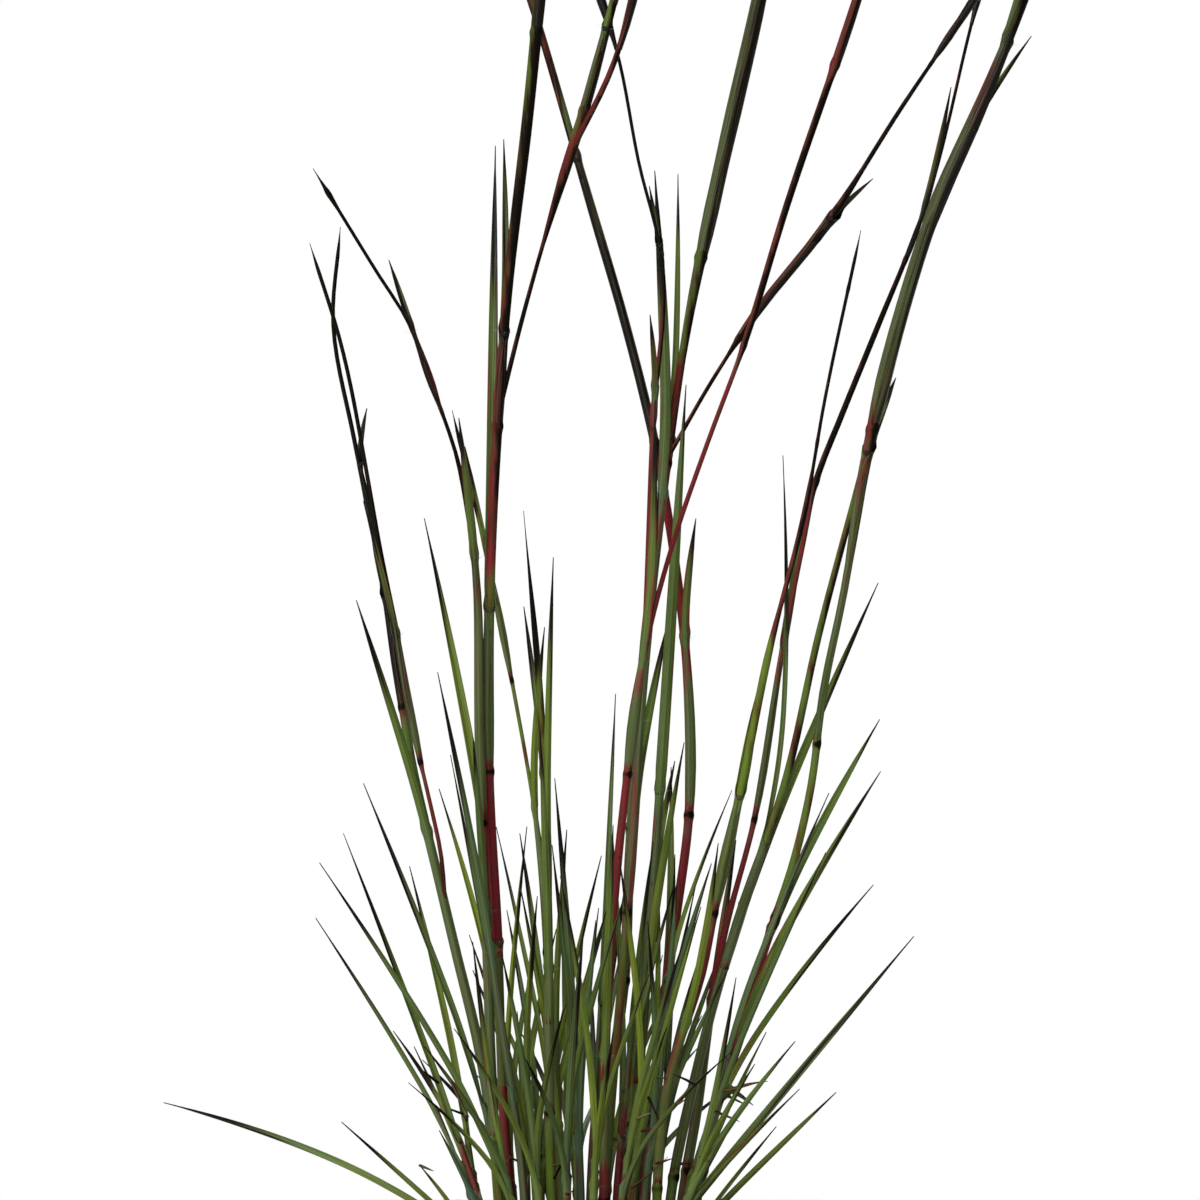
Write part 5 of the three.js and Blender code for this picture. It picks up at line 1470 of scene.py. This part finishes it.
TALL_TINTS = [
    (0.45, [], [([(0, 0), (150, 0.05), (170, 0.15), (176, 0.6), (205, 0.85), (235, 1)],
                 [(0, 0.3), (160, 0.2), (174, 0.6), (230, 0.8)]),
                ([(102, 0.45), (125, 0.4), (150, 0.25), (156, 0.2), (190, 0.4), (205, 0.8), (250, 1)],
                 [(102, 1), (150, 1), (158, 0.3), (190, 0.4), (212, 0.8)])]),
    (0.5, [346], [([(0, 0.05), (190, 0.2), (240, 0.65), (264, 0.85), (272, 0.62), (292, 0.7), (306, 1)],
                   [(0, 0.3), (96, 0.3), (103, 1), (130, 1), (136, 0.4), (230, 0.5), (262, 1), (310, 0.8)])]),
    (0.62, [], [([(0, 0), (210, 0.1), (250, 0.5), (276, 0.95)],
                 [(-15, 1), (20, 1), (28, 0.25), (276, 0.4)])]),
    (0.58, [], [([(0, 0), (140, 0.15), (180, 0.7), (210, 0.95)], [(0, 0.2), (238, 0.5)])]),
    (0.5, [], [([(0, 0), (148, 0.08), (205, 0.14), (235, 0.3), (262, 0.6), (300, 0.66), (330, 0.9),
                 (420, 0.9), (480, 0.6)],
                [(-15, 1), (36, 1), (43, 0.25), (72, 0.25), (86, 0.6), (92, 1), (148, 1), (153, 0.4),
                 (165, 0.25), (180, 0.25), (205, 0.3), (214, 0.45), (224, 0.78), (268, 0.8), (330, 0.6),
                 (400, 0.3), (480, 0.6)]),
               ([(271, 0.9), (306, 0.8), (335, 0.76), (352, 0.48), (380, 0.52), (430, 0.55), (478, 0.65)],
                [(271, 1), (345, 1), (360, 0.8), (378, 0.35), (478, 0.4)]),
               ([(364, 0.4), (420, 0.7), (460, 0.9)], [(364, 0.9)])]),
    (0.5, [], [([(0, 0), (136, 0.12), (160, 0.1), (200, 0.14), (250, 0.15), (266, 0.5), (290, 0.8),
                 (360, 0.76), (390, 0.56), (484, 0.6)],
                [(0, 0.3), (50, 0.4), (72, 1), (136, 1), (141, 0.5), (150, 0.3), (180, 0.35), (198, 1),
                 (268, 1), (276, 0.5), (360, 0.4), (390, 0.7)])]),
    (0.5, [297], [([(0, 0), (187, 0.05), (285, 0.05), (296, 0.7), (325, 0.6), (360, 0.85), (385, 0.8),
                    (397, 0.5), (412, 0.55), (440, 0.7), (496, 0.8)],
                   [(-15, 1), (8, 1), (14, 0.4), (46, 0.45), (54, 1), (146, 1), (150, 0.4), (165, 0.4),
                    (186, 1), (297, 1), (340, 0.9), (398, 1), (496, 0.9)])]),
    (0.42, [], [([(0, 0), (77, 0.1), (150, 0.03), (250, 0.12), (264, 0.4), (285, 0.32), (330, 0.42),
                  (420, 0.62), (535, 0.65)],
                 [(0, 0.5), (77, 0.5), (100, 0.3), (150, 0.35), (200, 0.4), (250, 0.55), (262, 0.9),
                  (290, 0.85), (306, 0.3), (340, 0.2)]),
                ([(264, 0.7), (296, 0.85), (306, 0.72), (340, 0.74), (350, 0.78), (358, 0.95), (400, 1)],
                 [(264, 0.9), (306, 0.9), (340, 0.8), (350, 0.9), (474, 0.5)])]),
    (0.52, [255], [([(0, 0), (134, 0.2), (190, 0.26), (200, 0.28), (245, 0.25), (256, 0.95), (484, 0.95)],
                    [(0, 0.4), (50, 0.4), (70, 1), (134, 1), (140, 0.3), (175, 0.3), (195, 0.9), (200, 1),
                     (255, 1), (484, 0.7)])]),
    (0.55, [98], [([(0, 0.02), (120, 0.12), (195, 0.16), (240, 0.2), (256, 0.4), (266, 0.5), (272, 0.5),
                    (282, 0.3), (310, 0.42), (330, 0.56), (355, 0.7), (402, 0.74), (440, 0.68), (525, 0.75)],
                   [(0, 0.3), (44, 0.4), (52, 0.95), (97, 0.95), (102, 0.3), (195, 0.25), (236, 0.35),
                    (252, 0.6), (268, 0.7), (278, 0.4), (330, 0.3), (402, 0.6)])]),
    (0.5, [], [([(0, 0), (120, 0.16), (165, 0.36), (190, 0.42), (240, 0.5), (262, 0.85), (300, 1)],
                [(0, 0.2), (140, 0.3), (182, 0.3), (187, 0.6), (191, 0.25), (300, 0.5)])]),
    (0.66, [261, 314], [([(0, 0.05), (99, 0.18), (104, 0.16), (180, 0.22), (205, 0.35), (244, 0.8), (256, 1),
                          (328, 1)],
                         [(0, 0.4), (45, 0.5), (62, 1), (99, 1), (105, 0.3), (190, 0.3), (205, 0.8),
                          (250, 0.8), (328, 0.5)])]),
    (0.45, [], [([(0, 0), (100, 0.05), (270, 0.25), (310, 0.75), (340, 1), (468, 1)],
                 [(0, 0.3), (250, 0.7), (330, 0.9), (468, 0.8)])]),
    (0.55, [], [([(0, 0), (150, 0.2)], [(0, 0.4), (150, 0.4)])]),
]

# Tints of the leafy shoots: the range of their tones, the least blush and what may be added to it, on the
# leaves and at the foot, and the tones of the seen shoots that stand out, yellow-green or blue-green.
SHOOT_TONE = (0.2, 0.75)
SHOOT_BLUSH = (0.1, 0.8)
SHOOT_FOOT_BLUSH = (0.15, 0.8)
SHOOT_TONES = {
    4: 1.0, 11: 1.0, 14: 0.7, 23: 0.75, 31: 0.7, 5: 0.12, 10: 0.15, 13: 0.1, 15: 0.12, 26: 0.15, 36: 0.1,
}


def culm_tints(tone, knots, keys):
    """The tints of a stem's culms, in the order in which they grow."""
    for index, (dusk, blush) in enumerate(keys):
        yield {"tone": tone, "blush": blush, "dusk": dusk, "knots": knots if index == 0 else []}


def shoot_tint(index):
    """The tint of a leafy shoot: mostly mid green, redder at its foot and here and there, hardly dark."""
    tone = SHOOT_TONES.get(index + 1, pick(index, 0.4, SHOOT_TONE))
    blush = SHOOT_BLUSH[0] + SHOOT_BLUSH[1] * draw(index, 0.66) ** 2
    foot_blush = SHOOT_FOOT_BLUSH[0] + SHOOT_FOOT_BLUSH[1] * draw(index, 0.91) ** 1.5
    return {"tone": tone, "blush": [(0, foot_blush), (20, foot_blush), (45, blush), (80, 0.6 * blush)],
            "dusk": [(-15, 0.25 * foot_blush), (30, 0.05), (150, 0.15)]}


# Materials

COLOR, VALUE = "NodeSocketColor", "NodeSocketFloat"
BLACK = (0.0, 0.0, 0.0, 1)
GREENS = [
    (0.0, (0.040, 0.076, 0.036)), (0.22, (0.050, 0.088, 0.027)), (0.45, (0.065, 0.106, 0.021)),
    (0.7, (0.090, 0.136, 0.014)), (1.0, (0.138, 0.188, 0.007)),
]
SHEATH_OLIVE = (0.046, 0.050, 0.012, 1)
LEAF_BROWN = (0.055, 0.030, 0.014, 1)
VEIN_GREEN = (0.020, 0.034, 0.012, 1)
MIDRIB_GREEN = (0.17, 0.22, 0.08, 1)
CRIMSON = (0.155, 0.011, 0.018, 1)
RUSSET = (0.095, 0.018, 0.014, 1)
UMBER = (0.032, 0.028, 0.005, 1)
PURPLE = (0.032, 0.005, 0.009, 1)
NEAR_BLACK = (0.0034, 0.0023, 0.0007, 1)
# The gain of the painted light near the soil, a little bluer than white.
PAINTED_FOOT_GAIN = (2.25, 2.0, 3.0, 1)
WAX = (0.110, 0.130, 0.088, 1)
DUST = (0.16, 0.13, 0.10, 1)
SPIKE_COLORS = [(0.2, (0.10, 0.13, 0.045)), (0.5, (0.16, 0.10, 0.06)), (0.85, (0.09, 0.028, 0.034))]
HAIR_COLORS = (0.26, 0.24, 0.19, 1), (0.48, 0.46, 0.41, 1)
MEMBRANE_COLORS = (0.030, 0.032, 0.012, 1), (0.060, 0.056, 0.022, 1)
PERLITE_COLORS = (0.22, 0.18, 0.14, 1), (0.62, 0.60, 0.56, 1)
FLOOR_COLORS = (0.80, 0.80, 0.79, 1), (0.84, 0.84, 0.83, 1)
# Crumb browns from the lowest stop up; the near-black lowest stop is painted shade in the hollows.
CRUMB_BROWNS_AND_HOLLOW_SHADE = [
    (0.3, (0.006, 0.004, 0.003)), (0.48, (0.022, 0.013, 0.008)), (0.6, (0.05, 0.031, 0.018)),
    (0.75, (0.12, 0.08, 0.05)),
]
CLOD_SHADE = (0.012, 0.008, 0.006, 1)
BARK_BROWNS = [
    (0.0, (0.012, 0.007, 0.004)), (0.45, (0.045, 0.024, 0.013)), (0.8, (0.10, 0.055, 0.028)),
    (1.0, (0.20, 0.13, 0.075)),
]
BARK_SHADE = (0.01, 0.006, 0.004, 1)
POT_BLACKS = (0.0095, 0.0095, 0.0105, 1), (0.017, 0.017, 0.018, 1)
SCUFF_GREY = (0.055, 0.055, 0.056, 1)
ALONG_SCALE = 0.033
VEIN_TURNS = 17.5


class Recipe:
    """A node tree with short ways to place nodes and join them."""

    def __init__(self, tree):
        self.tree = tree

    def feed(self, value, socket):
        """Joins another node's output to an input, or sets the input to a value."""
        if isinstance(value, bpy.types.NodeSocket):
            self.tree.links.new(value, socket)
        else:
            socket.default_value = value

    def place(self, kind, feeds=None, **settings):
        """A node with its settings, and with values or other nodes' outputs fed to its inputs."""
        node = self.tree.nodes.new(kind)
        for key, value in settings.items():
            setattr(node, key, value)
        for key, value in (feeds or {}).items():
            self.feed(value, node.inputs[key])
        return node

    def use(self, tree, **feeds):
        """A group placed with its own values."""
        return self.place("ShaderNodeGroup", feeds, node_tree=tree).outputs

    def trait(self, name):
        """A value that the piece carries at every point."""
        return self.place("ShaderNodeAttribute", attribute_name=name).outputs["Fac"]

    def spot(self, stretch=None):
        """The place on the object, drawn out upwards by a stretch below 1 or pressed by one above it."""
        spot = self.place("ShaderNodeTexCoord").outputs["Object"]
        if stretch is None:
            return spot
        return self.place("ShaderNodeMapping", {"Vector": spot, "Scale": (1.0, 1.0, stretch)}).outputs[0]

    def reckon(self, operation, first, second=0.0, third=0.0, clamp=False):
        """One step of arithmetic."""
        feeds = {0: first, 1: second, 2: third}
        return self.place("ShaderNodeMath", feeds, operation=operation, use_clamp=clamp).outputs[0]

    def times(self, first, second):
        """The product of two values."""
        return self.reckon("MULTIPLY", first, second)

    def more(self, first, second, rest, clamp=False):
        """The product of two values, and a third one added."""
        return self.reckon("MULTIPLY_ADD", first, second, rest, clamp)

    def sway(self, noise, reach, value):
        """A value moved up and down by noise: value + reach x (noise - 0.5)."""
        return self.more(self.reckon("SUBTRACT", noise, 0.5), reach, value)

    def span(self, value, low, high, start=0.0, end=1.0):
        """A value taken smoothly from start at low to end at high."""
        feeds = {"Value": value, "From Min": low, "From Max": high, "To Min": start, "To Max": end}
        return self.place("ShaderNodeMapRange", feeds, interpolation_type="SMOOTHSTEP").outputs["Result"]

    def noise(self, vector, scale, detail=3.0, roughness=0.55):
        """Soft noise, about 0.3 to 0.7."""
        feeds = {"Vector": vector, "Scale": scale, "Detail": detail, "Roughness": roughness}
        return self.place("ShaderNodeTexNoise", feeds).outputs["Fac"]

    def blend(self, share, first, second, mode="MIX"):
        """Two colours mixed by a share."""
        feeds = {0: share, 6: first, 7: second}
        return self.place("ShaderNodeMix", feeds, data_type="RGBA", blend_type=mode).outputs[2]

    def ramp(self, value, stops):
        """A colour read from stops of (place, colour)."""
        node = self.place("ShaderNodeValToRGB", {"Fac": value})
        elements = node.color_ramp.elements
        elements[0].position, elements[0].color = stops[0][0], (*stops[0][1], 1)
        elements[1].position, elements[1].color = stops[-1][0], (*stops[-1][1], 1)
        for place, color in stops[1:-1]:
            elements.new(place).color = (*color, 1)
        return node.outputs["Color"]

    def waxed(self, color, patches):
        """A colour under its wax."""
        return self.use(waxy_bloom, Color=color, Amount=self.trait("bloom"), Patches=patches)["Color"]

    def darkened(self, color, patches, side=0.0):
        """A colour under its darkness, with painted shade on its shaded side where a side is given."""
        feeds = {"Color": color, "Darkness": self.trait("dusk"), "Patches": patches, "Side": side}
        return self.use(darkening, **feeds)["Color"]


def group(name, inputs, outputs):
    """An empty shader node group with its sockets: a recipe, its inputs, and its outputs to be fed."""
    tree = bpy.data.node_groups.new(name, "ShaderNodeTree")
    for label, kind, value in inputs:
        socket = tree.interface.new_socket(name=label, in_out="INPUT", socket_type=kind)
        socket.default_value = value
    for label, kind in outputs:
        tree.interface.new_socket(name=label, in_out="OUTPUT", socket_type=kind)
    recipe = Recipe(tree)
    return recipe, recipe.place("NodeGroupInput").outputs, recipe.place("NodeGroupOutput").inputs


def material(name, roughness, specular):
    """A new material: its recipe and its shader, with the constants set on the shader's own sockets."""
    made = bpy.data.materials.new(name)
    made.use_nodes = True
    shader = made.node_tree.nodes["Principled BSDF"]
    shader.inputs["Roughness"].default_value = roughness
    shader.inputs["Specular IOR Level"].default_value = specular
    return made, Recipe(made.node_tree), shader.inputs


def finish_surface(recipe, shader, color, relief=None, depth=0.0, roughness=None):
    """Feeds a shader its colour, its fine relief with a depth in millimetres, and its roughness."""
    recipe.feed(color, shader["Base Color"])
    if relief is not None:
        feeds = {"Height": relief, "Distance": depth * METRE, "Strength": 1.0}
        recipe.feed(recipe.place("ShaderNodeBump", feeds).outputs[0], shader["Normal"])
    if roughness is not None:
        recipe.feed(roughness, shader["Roughness"])


def wax_group():
    """Pale wax in soft patches over a colour, by an amount."""
    recipe, given, out = group(
        "waxy bloom", [("Color", COLOR, BLACK), ("Amount", VALUE, 0.5), ("Patches", VALUE, 0.5)],
        [("Color", COLOR)])
    share = recipe.times(given["Amount"], recipe.span(given["Patches"], 0.35, 0.62))
    recipe.feed(recipe.blend(share, given["Color"], WAX), out["Color"])
    return recipe.tree


def dusk_group():
    """A colour going through brown and purple to near-black by a darkness, and darker still on its shaded
    side, where shade is painted.
    """
    inputs = [
        ("Color", COLOR, BLACK), ("Darkness", VALUE, 0.0), ("Patches", VALUE, 0.5), ("Side", VALUE, 0.0)]
    recipe, given, out = group("darkening", inputs, [("Color", COLOR)])
    uneven = recipe.sway(given["Patches"], 1.5, given["Darkness"])
    # Painted shade: the shaded side darkens further, the more so the darker the colour already is.
    tilt = recipe.times(given["Side"], recipe.span(given["Darkness"], 0.0, 0.5, 0.12, 0.42))
    uneven = recipe.reckon("ADD", uneven, tilt)
    brown = recipe.blend(recipe.span(uneven, 0.08, 0.5, 0.0, 0.5), given["Color"], UMBER)
    purple = recipe.blend(recipe.span(uneven, 0.36, 0.76, 0.0, 0.7), brown, PURPLE)
    recipe.feed(recipe.blend(recipe.span(uneven, 0.42, 0.82), purple, NEAR_BLACK), out["Color"])
    return recipe.tree


def dust_group():
    """Pale dust that settles in patches over a colour, by an amount."""
    recipe, given, out = group(
        "settled dust", [("Color", COLOR, BLACK), ("Amount", VALUE, 0.3), ("Scale", VALUE, 60.0)],
        [("Color", COLOR), ("Mask", VALUE)])
    coarse = recipe.noise(recipe.spot(), given["Scale"], 5.0, 0.6)
    mask = recipe.times(given["Amount"], recipe.span(coarse, 0.42, 0.72))
    recipe.feed(recipe.blend(mask, given["Color"], DUST), out["Color"])
    recipe.feed(mask, out["Mask"])
    return recipe.tree


waxy_bloom, darkening, settled_dust = wax_group(), dusk_group(), dust_group()


def leaf_material():
    """
    Leaf: parallel veins, a paler midrib, olive sheaths, brown streaks, crimson where its blush is high,
    wax, darkness towards the tip, and painted shade on its shaded side.
    """
    made, recipe, shader = material("bluestem leaf", 0.45, 0.1)
    aside, share, seed = recipe.trait("aside"), recipe.trait("share"), recipe.trait("seed")
    length = recipe.times(recipe.trait("along"), ALONG_SCALE)

    def lengthwise(breadth, detail):
        """Noise drawn out along the leaf, with so many turns across each millimetre."""
        feeds = {"X": recipe.times(aside, breadth), "Y": length, "Z": seed}
        return recipe.noise(recipe.place("ShaderNodeCombineXYZ", feeds).outputs[0], 1.0, detail)

    broad, streaks = lengthwise(0.8, 4.0), lengthwise(2.6, 2.0)
    tone = recipe.sway(streaks, 0.5, recipe.sway(broad, 0.9, recipe.trait("tone")))
    # Painted light: near the soil the green is brightened, as if lit more.
    color = recipe.blend(recipe.trait("foot_light"), recipe.ramp(tone, GREENS), PAINTED_FOOT_GAIN, "MULTIPLY")
    on_sheath = recipe.span(share, -0.08, 0.0, 1.0, 0.0)
    color = recipe.blend(recipe.times(on_sheath, 0.5), color, SHEATH_OLIVE)
    brown = recipe.times(recipe.span(streaks, 0.48, 0.68), 0.45)
    color = recipe.blend(brown, color, LEAF_BROWN)
    veins = recipe.span(recipe.reckon("SINE", recipe.times(aside, VEIN_TURNS)), -0.6, 1.0)
    ribbed = recipe.times(veins, recipe.span(share, -0.08, 0.0, 0.06, 0.24))
    color = recipe.blend(ribbed, color, VEIN_GREEN)
    midrib = recipe.span(recipe.reckon("ABSOLUTE", aside), 0.04, 0.2, 1.0, 0.0)
    color = recipe.waxed(recipe.blend(recipe.times(midrib, 0.32), color, MIDRIB_GREEN), broad)
    reach = recipe.more(streaks, 0.5, recipe.more(broad, 1.4, recipe.trait("blush")))
    color = recipe.blend(recipe.span(reach, 1.38, 1.72, 0.0, 0.88), color, CRIMSON)
    # Its darkness, and painted shade on the side that the shaded trait marks.
    color = recipe.darkened(color, streaks, recipe.trait("shaded"))
    relief = recipe.more(veins, -0.6, recipe.times(streaks, 0.7))
    finish_surface(recipe, shader, color, relief, 0.04, recipe.span(streaks, 0.3, 0.7, 0.30, 0.48))
    return made


def culm_material():
    """Culm: streaked green, crimson and russet where its blush is high, wax, dark joints, and painted shade
    on one side.
    """
    made, recipe, shader = material("bluestem culm", 0.45, 0.04)
    streaks = recipe.noise(recipe.spot(0.03), 1500.0)
    broad = recipe.noise(recipe.spot(0.12), 260.0)
    color = recipe.ramp(recipe.sway(streaks, 0.6, recipe.trait("tone")), GREENS)
    red = recipe.blend(recipe.span(streaks, 0.38, 0.62), CRIMSON, RUSSET)
    reach = recipe.sway(broad, 1.2, recipe.trait("blush"))
    color = recipe.waxed(recipe.blend(recipe.span(reach, 0.25, 0.65), color, red), broad)
    # Its darkness, and painted shade on the side that the shaded trait marks.
    color = recipe.darkened(color, broad, recipe.trait("shaded"))
    finish_surface(recipe, shader, color, streaks, 0.06, recipe.span(broad, 0.3, 0.7, 0.34, 0.58))
    return made


def spike_material():
    """Spikelets, stalks and bristles: green at the foot, then brown and purple towards the tip."""
    made, recipe, shader = material("flowering spike", 0.6, 0.25)
    grain = recipe.noise(recipe.spot(0.15), 1400.0)
    color = recipe.ramp(recipe.more(recipe.trait("share"), 0.4, recipe.times(grain, 0.7)), SPIKE_COLORS)
    finish_surface(recipe, shader, recipe.darkened(color, grain), grain, 0.08)
    return made


def hair_material():
    """Silky hairs: off-white, in warmer and paler patches."""
    made, recipe, shader = material("silky hair", 0.55, 0.35)
    grain = recipe.noise(recipe.spot(), 400.0)
    finish_surface(recipe, shader, recipe.blend(recipe.span(grain, 0.35, 0.65), *HAIR_COLORS))
    return made


def membrane_material():
    """The papery membrane at a collar: olive brown, thin and dull."""
    made, recipe, shader = material("papery membrane", 0.7, 0.2)
    grain = recipe.noise(recipe.spot(), 900.0)
    color = recipe.blend(recipe.span(grain, 0.3, 0.7), *MEMBRANE_COLORS)
    finish_surface(recipe, shader, recipe.darkened(color, grain), grain, 0.05)
    return made


def soil_material():
    """Potting mix: dark brown crumbs, paler ones between, and painted shade that makes the hollows of its
    relief black.
    """
    made, recipe, shader = material("potting mix", 0.95, 0.12)
    grain, clods = recipe.noise(recipe.spot(), 320.0, 7.0, 0.7), recipe.noise(recipe.spot(), 70.0, 4.0)
    shade = recipe.span(clods, 0.35, 0.65, 0.0, 0.5)
    # The lowest grain, which the relief sinks into hollows, is painted near-black shade.
    color = recipe.blend(shade, recipe.ramp(grain, CRUMB_BROWNS_AND_HOLLOW_SHADE), CLOD_SHADE)
    finish_surface(recipe, shader, color, recipe.more(clods, 0.5, grain), 1.3)
    return made


def chip_material():
    """Bark chips: each its own brown, with grain and dust."""
    made, recipe, shader = material("bark chip", 0.88, 0.18)
    grain = recipe.noise(recipe.spot(), 900.0, 5.0, 0.65)
    shade = recipe.span(grain, 0.35, 0.7, 0.0, 0.55)
    color = recipe.blend(shade, recipe.ramp(recipe.trait("tone"), BARK_BROWNS), BARK_SHADE)
    dusty = recipe.use(settled_dust, Color=color, Amount=0.25, Scale=220.0)
    finish_surface(recipe, shader, dusty["Color"], grain, 0.4)
    return made


def perlite_material():
    """Perlite grains: chalky white with fine brown pits."""
    made, recipe, shader = material("perlite", 0.9, 0.2)
    pits = recipe.noise(recipe.spot(), 1600.0, 4.0, 0.6)
    finish_surface(recipe, shader, recipe.blend(recipe.span(pits, 0.3, 0.55), *PERLITE_COLORS), pits, 0.3)
    return made


def pot_material():
    """Black moulded plastic: faint flow lines, scuffs, and dust, thickest low down."""
    made, recipe, shader = material("black polypropylene", 0.42, 0.32)
    flow = recipe.noise(recipe.spot(0.08), 90.0, 4.0)
    pebble = recipe.noise(recipe.spot(), 1800.0, 2.0)
    scuffs = recipe.noise(recipe.spot(7.0), 45.0, 8.0, 0.72)
    color = recipe.blend(recipe.span(flow, 0.35, 0.65), *POT_BLACKS)
    color = recipe.blend(recipe.span(scuffs, 0.6, 0.78, 0.0, 0.5), color, SCUFF_GREY)
    height = recipe.place("ShaderNodeSeparateXYZ", {"Vector": recipe.spot()}).outputs["Z"]
    dust = recipe.span(height, 0.0, 0.045, 0.3, 0.06)
    dusty = recipe.use(settled_dust, Color=color, Amount=dust, Scale=60.0)
    roughness = recipe.more(dusty["Mask"], 0.7, recipe.span(scuffs, 0.4, 0.75, 0.34, 0.6), clamp=True)
    finish_surface(recipe, shader, dusty["Color"], recipe.more(pebble, 0.35, flow), 0.12, roughness)
    return made


def floor_material():
    """Plain pale floor."""
    made, recipe, shader = material("pale floor", 0.8, 0.2)
    finish_surface(recipe, shader, recipe.blend(recipe.noise(recipe.spot(), 3.0), *FLOOR_COLORS))
    return made


# Putting the pieces together

grass = [leaf_material(), culm_material(), spike_material(), hair_material(), membrane_material()]
stems = {name: Piece() for name in tall_names + shoot_names}
for index, (name, culm, (tone, knots, keys)) in enumerate(zip(tall_names, culms, TALL_TINTS)):
    add_culm(stems[name], culm, culm_tints(tone, knots, keys), draw(index, 0.13))
for index, (name, shoot, fan) in enumerate(zip(shoot_names, shoots, fans)):
    add_shoot(stems[name], shoot["points"], LEAFY_SHOOTS[index][1], fan, shoot_tint(index))
add_seen_curls(stems)
add_old_leaves(stems)
for name, skins in stems.items():
    piece = skins.build(f"{name}_grown", grass)
    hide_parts(name)

rng = np.random.default_rng(20)
soil = Piece()
soil.add(make_soil(), SOIL)
x, y = scatter(CHIPS, 0.1)
chip_sizes = CHIP_LEAST + CHIP_RANGE * rng.random(len(x)) ** CHIP_POWER
chip_tones = rng.random(len(x))[:, None, None]
soil.add(crumbs(x, y, chip_sizes, CHIP_FLATNESS, CHIP_RISE, rng), CHIP, tone=chip_tones)
x, y = scatter(PERLITE_GRAINS, 0.43)
grain_sizes = GRAIN_LEAST + GRAIN_RANGE * rng.random(len(x))
soil.add(crumbs(x, y, grain_sizes, GRAIN_FLATNESS, GRAIN_RISE, rng), GRAIN)
potting_mix = soil.build("potting_mix_top", [soil_material(), chip_material(), perlite_material()])
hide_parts("soil")

pot_points, pot_faces = make_pot()
pot = mesh_object("nursery_pot", pot_points * METRE, pot_faces, [pot_material()])
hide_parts("pot")

# Floor, light and camera

FLOOR_HALF = 60.0
EYE = (0.0035, -3.0, 0.165)
LOOK_AT = (0.0035, 0.0, 0.3745)
LENS_LENGTH = 257.8
SENSOR_WIDTH = 36.0
FAR_END = 200.0
LIT_AT = (0.0, 0.0, 0.35)
SKY_LIGHT = 0.12

floor_mesh = bpy.data.meshes.new("floor")
floor_corners = [(x * FLOOR_HALF, y * FLOOR_HALF, 0) for x, y in ((-1, -1), (1, -1), (1, 1), (-1, 1))]
floor_mesh.from_pydata(floor_corners, [], [(0, 1, 2, 3)])
floor_mesh.materials.append(floor_material())
floor = bpy.data.objects.new("floor", floor_mesh)
bpy.context.scene.collection.objects.link(floor)


def aimed(name, data, place, target):
    """A light or camera at a place, turned to a target, with its top up."""
    thing = bpy.data.objects.new(name, data)
    bpy.context.scene.collection.objects.link(thing)
    direction = mathutils.Vector(target) - mathutils.Vector(place)
    thing.location = place
    thing.rotation_euler = direction.to_track_quat("-Z", "Y").to_euler()
    return thing


def soft_light(name, place, spread, energy):
    """An even light from one side of the sky, its edge as soft as its spread in degrees."""
    lamp = bpy.data.lights.new(name, "SUN")
    lamp.angle = math.radians(spread)
    lamp.energy = energy
    aimed(name, lamp, place, LIT_AT)


soft_light("key_light", (-2.3, -2.0, 1.6), 18.0, 2.2)
soft_light("front_light", (-0.5, -3.0, 0.7), 35.0, 2.1)
soft_light("top_light", (0.0, -0.4, 3.0), 50.0, 1.0)
soft_light("back_light", (1.2, 2.2, 1.9), 40.0, 0.8)

world = bpy.data.worlds.new("studio")
world.use_nodes = True
studio = Recipe(world.node_tree)
background = world.node_tree.nodes["Background"].inputs
in_view = studio.place("ShaderNodeLightPath").outputs["Is Camera Ray"]
studio.feed(studio.more(in_view, 1.0 - SKY_LIGHT, SKY_LIGHT), background["Strength"])
background["Color"].default_value = (1, 1, 1, 1)
bpy.context.scene.world = world
bpy.context.scene.view_settings.view_transform = "Standard"

lens = bpy.data.cameras.new("camera")
lens.sensor_width = SENSOR_WIDTH
lens.lens = LENS_LENGTH
lens.clip_end = FAR_END
bpy.context.scene.camera = aimed("camera", lens, EYE, LOOK_AT)
